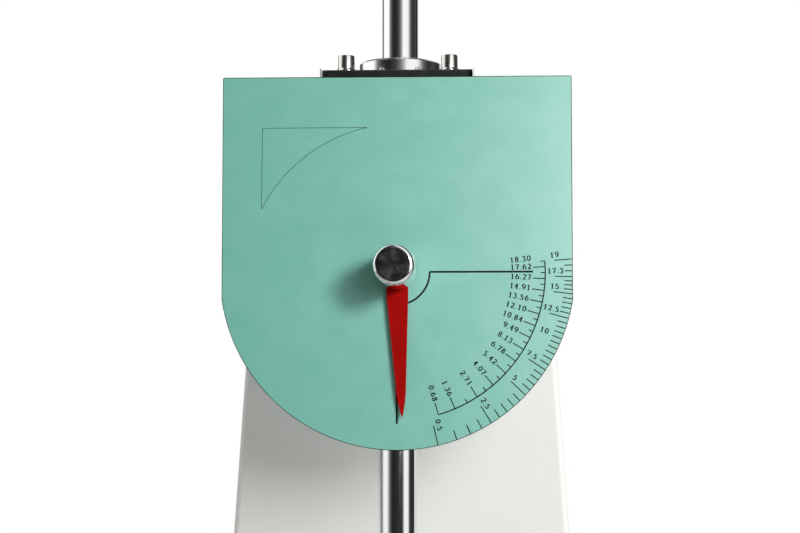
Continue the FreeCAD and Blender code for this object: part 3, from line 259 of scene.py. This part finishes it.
class Look(Nodes):
    """A material with its shader, and short ways to shape it."""

    def __init__(self, name, colour, metallic=0.0, roughness=0.5, edge=0.0, **sockets):
        self.material = bpy.data.materials.new(name)
        self.material.use_nodes = True
        super().__init__(self.material.node_tree)
        self.shader = next(node for node in self.tree.nodes if node.type == "BSDF_PRINCIPLED")
        self.shader.inputs["Base Color"].default_value = (*colour, 1)
        self.shader.inputs["Metallic"].default_value = metallic
        self.shader.inputs["Roughness"].default_value = roughness
        for socket, value in sockets.items():
            self.shader.inputs[socket.replace("_", " ")].default_value = value
        self.place = self.node("ShaderNodeTexCoord").outputs["Object"]
        if edge:
            self.join(self.soft_edge(edge), self.shader.inputs["Normal"])

    def noise(self, scale, detail=4.0, roughness=0.55, stretch=(1, 1, 1), distortion=0.0):
        """Noise in the object's own metres, stretched along an axis by a small factor."""
        place = self.node("ShaderNodeMapping", {"Scale": stretch, "Vector": self.place}).outputs["Vector"]
        grain = {"Scale": scale, "Detail": detail, "Roughness": roughness, "Distortion": distortion}
        return self.node("ShaderNodeTexNoise", {**grain, "Vector": place}).outputs["Fac"]

    def soft_edge(self, radius):
        """Normal that turns round every edge by a radius in metres."""
        return self.node("ShaderNodeBevel", {"Radius": radius}, samples=6).outputs["Normal"]

    def facing(self):
        """Direction that the surface faces."""
        return self.node("ShaderNodeNewGeometry").outputs["Normal"]

    def worn_edge(self, radius, low=0.02, high=0.16):
        """Mask that is 1 along the edges, broken up by noise."""
        sides = {0: self.soft_edge(radius), 1: self.facing()}
        likeness = self.node("ShaderNodeVectorMath", sides, operation="DOT_PRODUCT").outputs["Value"]
        edge = self.span(likeness, 0, 1, 1 - low, 1 - high)
        broken = self.span(self.noise(160, detail=5, roughness=0.7), 0, 1, 0.40, 0.58)
        return self.combine("MULTIPLY", edge, broken)

    def colour(self, output):
        self.join(output, self.shader.inputs["Base Color"])

    def rough(self, output):
        self.join(output, self.shader.inputs["Roughness"])

    def bump(self, height, distance, strength=1.0):
        """Surface relief of a real depth in metres, on top of any bump made before."""
        bump = self.node("ShaderNodeBump", {"Distance": distance, "Strength": strength, "Height": height})
        before = self.shader.inputs["Normal"].links
        if before:
            self.join(before[0].from_socket, bump.inputs["Normal"])
        self.join(bump.outputs["Normal"], self.shader.inputs["Normal"])


def powder_coat(name, colour, darker, roughness, chipped=None):
    """Painted sheet with fine orange peel, faint cloudy toning and edges worn through to a colour."""
    look = Look(name, colour, roughness=roughness, Specular_IOR_Level=0.25)
    cloud = look.span(look.noise(9, detail=3), 0, 1)
    paint = look.mix(cloud, colour, darker)
    if chipped:
        paint = look.mix(look.worn_edge(0.9 * MM), paint, chipped)
    look.colour(paint)
    look.rough(look.span(look.noise(60), roughness - 0.04, roughness + 0.06))
    look.bump(look.noise(420, detail=3), 0.05 * MM, 0.6)
    look.bump(look.noise(90, detail=2), 0.06 * MM, 0.4)
    return look.material


def dial_print():
    """Satin printed sheet: teal with fine pale and dark specks."""
    look = Look("dial_teal", (0.150, 0.425, 0.335), roughness=0.33, IOR=1.7, Specular_IOR_Level=0.85)
    grain = look.span(look.noise(820, detail=3, roughness=0.75), 0, 1, 0.30, 0.70)
    cloud = look.span(look.noise(14, detail=4), 0, 1)
    speck = look.ramp(look.noise(1300, detail=1), [(0.62, 0.0), (0.72, 0.45)])
    base = look.mix(grain, (0.116, 0.390, 0.310), (0.156, 0.456, 0.368))
    toned = look.mix(cloud, base, (0.134, 0.426, 0.340))
    look.colour(look.mix(speck, toned, (0.36, 0.66, 0.58)))
    look.rough(look.span(look.noise(40), 0.30, 0.37))
    look.bump(look.noise(1400, detail=2), 0.02 * MM, 0.6)
    return look.material


def chrome(name, colour, roughness, stretch, wave=1.0):
    """Hard chrome with faint polishing lines, small pits and a slightly wavy skin."""
    look = Look(name, colour, metallic=1.0, roughness=roughness, edge=0.4 * MM)
    lines = look.noise(260, detail=5, roughness=0.7, stretch=stretch)
    pits = look.ramp(look.noise(420, detail=5, roughness=0.75), [(0.60, 1.0), (0.72, 0.45)])
    look.colour(look.mix(pits, tuple(channel * 0.45 for channel in colour), colour))
    look.rough(look.span(lines, roughness * 0.5, roughness * 1.7))
    look.bump(lines, 0.005 * MM, 0.5)
    look.bump(look.noise(150, detail=5, roughness=0.65), 0.022 * MM * wave, 0.5)
    look.bump(look.noise(38, detail=2), 0.06 * MM * wave, 0.4)
    return look.material


def steel(name, colour, roughness, scale, stretch, bump_depth):
    """Machined steel with tool lines along one way and cloudy roughness."""
    look = Look(name, colour, metallic=1.0, roughness=roughness, edge=0.5 * MM)
    lines = look.noise(scale, detail=6, roughness=0.65, stretch=stretch)
    look.rough(look.span(lines, roughness * 0.7, roughness * 1.4))
    darker = tuple(channel * 0.72 for channel in colour)
    brighter = tuple(min(channel * 1.35, 0.9) for channel in colour)
    skin = look.mix(look.span(look.noise(35), 0, 1), colour, darker)
    look.colour(look.mix(look.worn_edge(0.5 * MM), skin, brighter))
    look.bump(lines, bump_depth)
    return look.material


def casting(name, colour, darker):
    """Painted iron casting with a coarse skin and chipped edges."""
    look = Look(name, colour, roughness=0.45, edge=1.5 * MM, Specular_IOR_Level=0.5)
    paint = look.mix(look.span(look.noise(18), 0, 1), colour, darker)
    look.colour(look.mix(look.worn_edge(0.8 * MM, 0.06, 0.22), paint, (0.34, 0.35, 0.36)))
    look.bump(look.noise(420, detail=5, roughness=0.6), 0.12 * MM, 0.7)
    look.bump(look.noise(40, detail=2), 0.25 * MM, 0.4)
    look.rough(look.span(look.noise(120), 0.36, 0.56))
    return look.material


def rubber():
    look = Look("foot_rubber", (0.022, 0.022, 0.023), roughness=0.75, edge=1.5 * MM)
    look.rough(look.span(look.noise(300), 0.65, 0.9))
    look.bump(look.noise(800, detail=3), 0.03 * MM)
    return look.material


def black_oxide():
    """Black plate whose edges are rubbed through to bare metal."""
    look = Look("black_plate", (0.008, 0.009, 0.009), roughness=0.38, edge=0.5 * MM, Specular_IOR_Level=0.2)
    worn = look.ramp(look.noise(90, detail=6, roughness=0.7), [(0.52, 0.0), (0.72, 0.5)])
    skin = look.mix(worn, (0.006, 0.007, 0.007), (0.017, 0.018, 0.018))
    look.colour(look.mix(look.worn_edge(0.6 * MM, 0.02, 0.10), skin, (0.42, 0.43, 0.41)))
    look.rough(look.span(look.noise(220), 0.28, 0.5))
    look.bump(look.noise(600, detail=3), 0.02 * MM)
    return look.material


def pointer_red():
    """Deep red paint on thin sheet with a bare cut edge."""
    look = Look("pointer_red", (0.31, 0.002, 0.002), roughness=0.5, Specular_IOR_Level=0.03)
    paint = look.mix(look.span(look.noise(160, detail=3), 0, 1), (0.33, 0.002, 0.002), (0.27, 0.002, 0.001))
    look.colour(look.mix(look.worn_edge(0.35 * MM, 0.05, 0.3), paint, (0.62, 0.22, 0.20)))
    look.rough(look.span(look.noise(300), 0.40, 0.52))
    look.bump(look.noise(900, detail=2), 0.015 * MM)
    return look.material


def brass():
    return steel("turned_brass", (0.74, 0.53, 0.22), 0.28, 900, (0.05, 1, 0.05), 0.004 * MM)


def ink():
    look = Look("scale_ink", (0.003, 0.005, 0.005), roughness=0.5, Specular_IOR_Level=0.1)
    look.colour(look.mix(look.span(look.noise(900), 0, 1), (0.002, 0.004, 0.004), (0.006, 0.010, 0.009)))
    return look.material


def knob_chrome():
    """Bright knob whose flat end has a painted dark reflection of the room, with fine scratches and spots."""
    look = Look("knob_chrome", (0.80, 0.81, 0.82), metallic=1.0, roughness=0.08)
    split = look.node("ShaderNodeSeparateXYZ", {"Vector": look.facing()})
    face = look.span(split.outputs["Y"], 1, 0, -0.995, -0.97)
    cloud = look.noise(90, detail=5, roughness=0.6)
    spots = look.ramp(look.noise(620, detail=4, roughness=0.8, distortion=0.8), [(0.60, 0.0), (0.70, 1.0)])
    scratch = look.noise(700, detail=4, roughness=0.8, stretch=(1, 1, 0.10))
    # Painted reflection: the flat end's colour is darkened, with a mottle, to stand for the dark room it mirrors
    painted_dark_reflection = look.mix(look.span(cloud, 0, 1), (0.05, 0.055, 0.055), (0.20, 0.215, 0.22))
    look.colour(look.mix(face, (0.80, 0.81, 0.82), look.mix(spots, painted_dark_reflection, (0.74, 0.75, 0.76))))
    look.rough(look.combine("MULTIPLY_ADD", face, look.span(cloud, 0.06, 0.20), 0.07))
    look.bump(scratch, 0.006 * MM, 0.5)
    look.bump(cloud, 0.02 * MM, 0.3)
    return look.material


def dress(node, material):
    """Give a CAD node its material."""
    mesh = nodes[node].data
    mesh.materials.clear()
    mesh.materials.append(material)


def smooth(node, angle=30):
    """Smooth shading up to an edge angle, without touching the CAD mesh's points."""
    mesh = nodes[node].data
    for polygon in mesh.polygons:
        polygon.use_smooth = True
    mesh.set_sharp_from_angle(angle=math.radians(angle))


def dress_cad():
    around_post = (1, 1, 0.02)
    materials = {
        "column_paint": powder_coat("column_paint", (0.775, 0.765, 0.74), (0.755, 0.745, 0.72), 0.55),
        "base_paint": powder_coat("base_paint", (0.055, 0.06, 0.065), (0.048, 0.053, 0.058), 0.45,
                                  (0.30, 0.31, 0.32)),
        "rubber": rubber(),
        "zinc_steel": steel("zinc_steel", (0.62, 0.63, 0.64), 0.3, 500, (1, 1, 1), 0.01 * MM),
        "black_plate": black_oxide(),
        "bright_screw": chrome("bright_screw", (0.74, 0.72, 0.69), 0.17, around_post, 0.4),
        "chrome": chrome("hard_chrome", (0.82, 0.83, 0.84), 0.085, around_post),
        "eye_steel": steel("eye_steel", (0.55, 0.55, 0.55), 0.38, 260, (1, 1, 1), 0.05 * MM),
        "dial_teal": dial_print(),
        "machined_steel": steel("machined_steel", (0.55, 0.56, 0.57), 0.28, 700, (1, 1, 0.05), 0.006 * MM),
        "grey_casting": casting("grey_casting", (0.17, 0.19, 0.20), (0.13, 0.145, 0.155)),
        "bearing_steel": steel("bearing_steel", (0.68, 0.69, 0.70), 0.16, 900, (1, 0.05, 1), 0.002 * MM),
        "hardened_steel": steel("hardened_steel", (0.36, 0.36, 0.38), 0.32, 800, (0.05, 1, 1), 0.006 * MM),
        "pointer_red": pointer_red(),
        "brass": brass(),
        "ring_steel": steel("ring_steel", (0.48, 0.49, 0.50), 0.34, 600, (1, 1, 0.1), 0.01 * MM),
    }
    for node, slot in slots.items():
        dress(node, materials[slot])
        smooth(node)
    dress("knob", knob_chrome())
    return materials


def radial(radius, angle):
    """Offset from the print's centre, by radius in mm and degrees from straight down."""
    turn = math.radians(angle)
    return Vector((radius * MM * math.sin(turn), 0, -radius * MM * math.cos(turn)))


def add_stroke(mesh, places, widths):
    """Printed ribbon through points measured from the print's centre."""
    rows = []
    for index, place in enumerate(places):
        ahead = places[min(index + 1, len(places) - 1)] - places[max(index - 1, 0)]
        ahead.normalize()
        side = Vector((ahead.z, 0, -ahead.x)) * (widths[index] * MM / 2)
        front = print_centre + place + Vector((0, -ink_height, 0))
        back = print_centre + place + Vector((0, ink_height / 2, 0))
        corners = (front - side, front + side, back + side, back - side)
        rows.append([mesh.verts.new(corner) for corner in corners])
    for first, second in zip(rows, rows[1:]):
        for index in range(4):
            follow = (index + 1) % 4
            mesh.faces.new((first[index], first[follow], second[follow], second[index]))
    mesh.faces.new(rows[0][::-1])
    mesh.faces.new(rows[-1])


def add_line(mesh, start, end, width):
    add_stroke(mesh, [start, end], [width, width])


def add_arc(mesh, radius, start_angle, end_angle, width, centre=Vector((0, 0, 0))):
    """Printed arc, by degrees from straight down."""
    steps = max(8, round(abs(end_angle - start_angle) / arc_step))
    angles = [start_angle + (end_angle - start_angle) * index / steps for index in range(steps + 1)]
    add_stroke(mesh, [centre + radial(radius, angle) for angle in angles], [width] * (steps + 1))


def finish_mesh(mesh, name, material, body):
    """Turn a bmesh into a piece that rides on a body."""
    bmesh.ops.recalc_face_normals(mesh, faces=mesh.faces)
    data = bpy.data.meshes.new(name)
    mesh.to_mesh(data)
    mesh.free()
    data.materials.append(material)
    piece = link(bpy.data.objects.new(name, data))
    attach(piece, body)
    return piece


def inner_angle(count):
    """Angle at which the raised pendulum stores count steps of energy."""
    return math.degrees(math.acos(1 - count * inner_step / pendulum_moment))


def print_inner_scale(material):
    mesh = bmesh.new()
    add_arc(mesh, inner_radius, inner_first_angle, inner_angle(inner_count), arc_width)
    for count in range(1, inner_count + 1):
        major = count == 1 or count % 2 == 0
        length = inner_major_length if major else inner_minor_length
        angle = inner_angle(count)
        add_line(mesh, radial(inner_radius - length, angle), radial(inner_radius, angle), tick_width)
    finish_mesh(mesh, "inner_scale_print", material, "stand")


def outer_edge(angle):
    """Radius at which a tick meets the dial's arc or its straight side."""
    return min(dial_arc_radius, dial_half_width / math.sin(math.radians(angle))) - outer_edge_margin


def turn_between(low, high, share):
    """Angle at a share of the energy between two angles."""
    low_cos = math.cos(math.radians(low))
    high_cos = math.cos(math.radians(high))
    return math.degrees(math.acos(low_cos + (high_cos - low_cos) * share))


def print_outer_scale(material):
    mesh = bmesh.new()
    for index, (label, angle, between) in enumerate(outer_scale):
        add_line(mesh, radial(outer_major_radius, angle), radial(outer_edge(angle), angle), tick_width)
        for step in range(1, between + 1):
            turn = turn_between(angle, outer_scale[index + 1][1], step / (between + 1))
            add_line(mesh, radial(outer_minor_radius, turn), radial(outer_edge(turn), turn), tick_width)
    finish_mesh(mesh, "outer_scale_print", material, "stand")


def print_zero_lines(material):
    """Level line, zero line and the small arc that joins them."""
    mesh = bmesh.new()
    add_line(mesh, radial(zero_arc_radius, 90), radial(level_line_end, 90), thick_line_width)
    add_line(mesh, radial(zero_arc_radius, 0), radial(zero_line_end, 0), thick_line_width)
    add_arc(mesh, zero_arc_radius, 0, 90, thick_line_width)
    finish_mesh(mesh, "zero_line_print", material, "stand")


def print_outline(material):
    """Thin three-sided outline with one curved side."""
    mesh = bmesh.new()
    add_line(mesh, outline_corner, outline_right, outline_width)
    add_line(mesh, outline_corner, outline_bottom, outline_width)
    centre, radius = circle_through(outline_bottom, outline_bend, outline_right)
    spokes = [place - centre for place in (outline_bottom, outline_right)]
    angles = [math.degrees(math.atan2(spoke.x, -spoke.z)) for spoke in spokes]
    add_arc(mesh, radius / MM, angles[0] % 360, angles[1] % 360, outline_width, centre)
    finish_mesh(mesh, "outline_print", material, "stand")


def welded(node):
    """Copy of a CAD node's mesh whose faces share their points."""
    mesh = bmesh.new()
    mesh.from_mesh(nodes[node].data)
    bmesh.ops.remove_doubles(mesh, verts=mesh.verts, dist=0.001 * MM)
    return mesh


def print_border(material):
    """Thin dark strip in the scale ink, drawn just inside the dial's outline."""
    outline = welded("dial_plate")
    mesh = bmesh.new()
    for edge in outline.edges:
        ends = [vert.co for vert in edge.verts]
        fronts = [face.normal.y < -0.9 for face in edge.link_faces]
        if max(end.y for end in ends) < dial_y + ink_height and any(fronts) and not all(fronts):
            start, end = (end - print_centre for end in ends)
            if min(start.length, end.length) > inner_radius * MM:
                shrink = 1 - border_width * MM / (2 * start.length)
                add_line(mesh, start * shrink, end * shrink, border_width)
    outline.free()
    finish_mesh(mesh, "dial_border", material, "stand")


def circle_through(first, second, third):
    """Centre and radius of the circle through three points on the dial."""
    ax, az = first.x, first.z
    bx, bz = second.x, second.z
    cx, cz = third.x, third.z
    scale = 2 * (ax * (bz - cz) + bx * (cz - az) + cx * (az - bz))
    squares = [place.x ** 2 + place.z ** 2 for place in (first, second, third)]
    x = (squares[0] * (bz - cz) + squares[1] * (cz - az) + squares[2] * (az - bz)) / scale
    z = (squares[0] * (cx - bx) + squares[1] * (ax - cx) + squares[2] * (bx - ax)) / scale
    centre = Vector((x, 0, z))
    return centre, (first - centre).length


def add_number(mesh, number, radius, angle, align):
    """Plain number that reads outward from the pivot; align is the share of it before the radius."""
    advances = [point_advance if sign == "." else digit_advance for sign in number]
    start = -align * (sum(advances) - digit_advance + digit_width)
    turn = math.radians(angle - 90)
    along = Vector((math.cos(turn), 0, math.sin(turn))) * digit_height * MM
    up = Vector((-math.sin(turn), 0, math.cos(turn))) * digit_height * MM
    for index, sign in enumerate(number):
        left = start + sum(advances[:index])
        for stroke in digit_strokes[sign]:
            places = [radial(radius, angle) + along * (left + x * digit_stretch) + up * (y - 0.5)
                      for x, y in stroke]
            widths = []
            for step in range(len(stroke)):
                before, after = stroke[max(step - 1, 0)], stroke[min(step + 1, len(stroke) - 1)]
                run = (after[0] - before[0], after[1] - before[1])
                upright = abs(run[1]) / math.hypot(*run)
                widths.append(digit_height * (digit_thin + (digit_thick - digit_thin) * upright))
            add_stroke(mesh, places, widths)


def print_numbers(material):
    mesh = bmesh.new()
    for count, number in inner_labels.items():
        turn = inner_label_turn if count < inner_count else inner_last_label_turn
        add_number(mesh, number, inner_label_radius, inner_angle(count) + turn, 1)
    for number, angle in [mark[:2] for mark in outer_scale] + [outer_label_between]:
        add_number(mesh, number, outer_label_radius, angle + outer_label_turn, 0.5)
    finish_mesh(mesh, "scale_numbers_print", material, "stand")


def loose_parts(node):
    """Points of each separate solid in a CAD node, in the mesh's own order."""
    mesh = welded(node)
    seen = set()
    parts = []
    for start in mesh.verts:
        if start in seen:
            continue
        seen.add(start)
        found = [start]
        for vert in found:
            for edge in vert.link_edges:
                other = edge.other_vert(vert)
                if other not in seen:
                    seen.add(other)
                    found.append(other)
        parts.append([vert.co.copy() for vert in found])
    mesh.free()
    return parts


def across(axis):
    """Two directions square to an axis."""
    first = axis.orthogonal().normalized()
    return first, axis.cross(first)


def measure(places, axis):
    """Middle of some points, and how far each is along an axis and away from it."""
    low = Vector(min(place[i] for place in places) for i in range(3))
    high = Vector(max(place[i] for place in places) for i in range(3))
    middle = (low + high) / 2
    spots = []
    for place in places:
        along = (place - middle).dot(axis)
        spots.append((along, ((place - middle) - axis * along).length))
    return middle, spots


def turn_rings(mesh, centre, axis, rings):
    """Skin through rings of (distance along the axis, radius at each of equal angles)."""
    first, second = across(axis)
    rows = []
    for along, radii in rings:
        row = []
        for index, radius in enumerate(radii):
            angle = 2 * math.pi * index / len(radii)
            place = centre + axis * along + (first * math.cos(angle) + second * math.sin(angle)) * radius
            row.append(mesh.verts.new(place))
        rows.append(row)
    for low, high in zip(rows, rows[1:]):
        for index in range(len(low)):
            follow = (index + 1) % len(low)
            mesh.faces.new((low[index], low[follow], high[follow], high[index]))
    mesh.faces.new(rows[0][::-1])
    mesh.faces.new(rows[-1])


def socket_screw(mesh, places, axis):
    """Cap screw with a hex socket, sized by the CAD screw's points; the axis runs from head to tip."""
    centre, spots = measure(places, axis)
    top = min(along for along, radius in spots)
    tip = max(along for along, radius in spots)
    head = max(radius for along, radius in spots)
    seat = max(along for along, radius in spots if radius > 0.9 * head)
    shank = max(radius for along, radius in spots if along > seat + 0.1 * MM)
    key = head * key_share
    hexagon = []
    for index in range(screw_sides):
        off_middle = (360 * index / screw_sides) % 60 - 30
        hexagon.append(key / math.cos(math.radians(off_middle)))
    depth = (seat - top) * socket_depth_share
    edge = head * head_edge_share
    socket = [(top + depth + key * 0.3, [key * 0.15] * screw_sides), (top + depth, hexagon),
              (top + 0.04 * head, hexagon), (top, [radius + 0.05 * head for radius in hexagon])]
    profile = [(top, head - edge), (top + 0.3 * edge, head - 0.28 * edge), (top + edge, head),
               (seat - 0.1 * edge, head), (seat, head - 0.1 * edge), (seat, shank),
               (tip - 0.2 * shank, shank), (tip, 0.8 * shank)]
    rings = socket + [(along, [radius] * screw_sides) for along, radius in profile]
    turn_rings(mesh, centre, axis, rings)


def replace_piece(mesh, node, body, materials):
    """Piece that stands for a CAD node, in its material."""
    piece = finish_mesh(mesh, node + "_detail", materials[slots[node]], body)
    for polygon in piece.data.polygons:
        polygon.use_smooth = True
    piece.data.set_sharp_from_angle(angle=math.radians(32))
    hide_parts(node)


def make_socket_screws(materials):
    down = Vector((0, 0, -1))
    forward = Vector((0, -1, 0))
    for node, axis in (("column_bolts", down), ("pedestal_screws", down), ("top_plate_screws", down),
                       ("back_cover_screws", forward)):
        mesh = bmesh.new()
        for places in loose_parts(node):
            socket_screw(mesh, places, axis)
        replace_piece(mesh, node, "stand", materials)


def threaded_rod(mesh, places, axis, pitch, sides, plain):
    """Rod cut with a helical thread, as thick and as long as the points say, with a plain end."""
    centre, spots = measure(places, axis)
    length = max(along for along, radius in spots) - min(along for along, radius in spots)
    radius = max(radius for along, radius in spots)
    steps = round(length / pitch * rings_per_turn)
    rings = [(-length / 2, [radius * 0.8] * sides)]
    for step in range(steps + 1):
        along = length * step / steps
        threaded = 0 < along < length - plain
        chamfer = max(thread_chamfer_share * radius - min(along, length - along), 0)
        ring = []
        for side in range(sides):
            wave = abs((along / pitch - side / sides) % 1 - 0.5) * 2
            flank = min(max((wave - 0.25) * 2, 0), 1)
            depth = pitch * thread_depth_share * flank if threaded else 0
            ring.append(radius - max(depth, chamfer))
        rings.append((along - length / 2, ring))
    rings.append((length / 2, [radius * 0.8] * sides))
    turn_rings(mesh, centre, axis, rings)


def make_threads(materials):
    up = Vector((0, 0, 1))
    right = Vector((1, 0, 0))
    screw_in_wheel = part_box("vice_screw")[1].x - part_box("handwheel")[0].x
    for node, body, axis, pitch, sides, plain in (
            ("foot_studs", "stand", up, foot_stud_pitch, 20, 0),
            ("lift_screw", "vice_table", up, lift_screw_pitch, 40, 0),
            ("vice_screw", "vice_spindle", right, vice_screw_pitch, 28, screw_in_wheel)):
        mesh = bmesh.new()
        for places in loose_parts(node):
            threaded_rod(mesh, places, axis, pitch * MM, sides, plain)
        replace_piece(mesh, node, body, materials)


def area_light(name, offset, size, power, glossy):
    """Lamp that faces the pivot on the dial."""
    data = bpy.data.lights.new(name, type="AREA")
    data.shape = "RECTANGLE"
    data.size, data.size_y = size
    data.energy = power
    light = link(bpy.data.objects.new(name, data))
    light.location = pivot_on_dial + Vector(offset)
    light.rotation_euler = (pivot_on_dial - light.location).to_track_quat("-Z", "Y").to_euler()
    light.visible_glossy = glossy
    return light


def chosen_nodes(name, chosen, state="EXCLUDE"):
    """Collection of CAD nodes that a lamp's light or shadow leaves out, or is kept to."""
    collection = bpy.data.collections.new(name)
    for node in chosen:
        collection.objects.link(nodes[node])
    for entry in collection.collection_objects:
        entry.light_linking.link_state = state
    return collection


def make_lights():
    """The photo's rod throws no shadow, its column is softly lit, and its chrome shows plain bands."""
    lights = {name: area_light(name, *settings) for name, settings in lamps.items()}
    column = ["column_shell", "column_end_plates"]
    chrome = ["post_collar", "lifting_post", "pendulum_rod"]
    key = lights["key_softbox"].light_linking
    key.blocker_collection = chosen_nodes("key_passes", ["pendulum_rod"])
    key.receiver_collection = chosen_nodes("key_leaves_out", column + chrome)
    wide = lights["wide_softbox"].light_linking
    wide.blocker_collection = chosen_nodes("wide_passes", ["pendulum_rod"])
    wide.receiver_collection = chosen_nodes("wide_lights", column, "INCLUDE")
    sheen = lights["sheen_softbox"].light_linking
    sheen.blocker_collection = chosen_nodes("sheen_passes", ["pendulum_rod", "dial_plate"])
    sheen.receiver_collection = chosen_nodes("sheen_leaves_out", ["post_collar"])


def make_world():
    """White to the camera, even light for the surfaces, and softbox bands for what mirrors."""
    world = bpy.data.worlds.new("studio")
    bpy.context.scene.world = world
    world.use_nodes = True
    studio = Nodes(world.node_tree)
    studio.tree.nodes.clear()
    direction = studio.node("ShaderNodeTexCoord").outputs["Generated"]
    split = studio.node("ShaderNodeSeparateXYZ", {"Vector": direction})
    front = studio.combine("MULTIPLY", split.outputs["Y"], -1)
    azimuth = studio.combine("ARCTAN2", split.outputs["X"], front)
    share = studio.span(azimuth, 0, 1, -math.pi, math.pi)
    low, high = [studio.ramp(share, [((degrees + 180) / 360, level) for degrees, level in bands])
                 for bands in (low_bands, high_bands)]
    rise = studio.span(split.outputs["Z"], 0, 1, low_bands_top, high_bands_foot)
    even = studio.node("ShaderNodeBackground", {"Color": room_colour, "Strength": room_strength})
    mirrored = studio.node("ShaderNodeBackground", {"Color": studio.mix(rise, low, high)})
    white = studio.node("ShaderNodeBackground", {"Color": (1, 1, 1, 1)})
    ray = studio.node("ShaderNodeLightPath").outputs
    by_gloss = studio.blend(ray["Is Glossy Ray"], even, mirrored)
    seen = studio.combine("MAXIMUM", ray["Is Camera Ray"], ray["Is Transmission Ray"])
    by_camera = studio.blend(seen, by_gloss, white)
    studio.node("ShaderNodeOutputWorld", {"Surface": by_camera.outputs[0]})


def make_floor():
    """Pale round floor that is white to the camera and keeps the object's shadow."""
    mesh = bmesh.new()
    bmesh.ops.create_circle(mesh, cap_ends=True, segments=96, radius=floor_radius)
    data = bpy.data.meshes.new("floor")
    mesh.to_mesh(data)
    mesh.free()
    floor = link(bpy.data.objects.new("floor", data))
    material = bpy.data.materials.new("floor_paper")
    material.use_nodes = True
    sheet = Nodes(material.node_tree)
    sheet.tree.nodes.clear()
    camera_ray = sheet.node("ShaderNodeLightPath").outputs["Is Camera Ray"]
    paper = sheet.node("ShaderNodeBsdfDiffuse", {"Color": (floor_grey, floor_grey, floor_grey, 1)})
    glow = sheet.node("ShaderNodeEmission", {"Strength": sheet.combine("MULTIPLY", camera_ray, floor_glow)})
    both = sheet.node("ShaderNodeAddShader", {0: paper.outputs[0], 1: glow.outputs[0]})
    place = sheet.node("ShaderNodeTexCoord").outputs["Object"]
    reach = sheet.node("ShaderNodeVectorMath", {0: place}, operation="LENGTH").outputs["Value"]
    ends = {"From Min": floor_fade_start, "From Max": floor_fade_end}
    fade = sheet.node("ShaderNodeMapRange", {**ends, "Value": reach}, interpolation_type="SMOOTHSTEP")
    seen = sheet.combine("MULTIPLY", fade.outputs["Result"], camera_ray)
    faded = sheet.blend(seen, both, sheet.node("ShaderNodeEmission"))
    sheet.node("ShaderNodeOutputMaterial", {"Surface": faded.outputs[0]})
    data.materials.append(material)


bpy.context.scene.view_settings.view_transform = "Standard"
make_camera()
materials = dress_cad()
make_socket_screws(materials)
make_threads(materials)
scale_ink = ink()
print_inner_scale(scale_ink)
print_outer_scale(scale_ink)
print_zero_lines(scale_ink)
print_outline(scale_ink)
print_border(scale_ink)
print_numbers(scale_ink)
make_lights()
make_world()
make_floor()
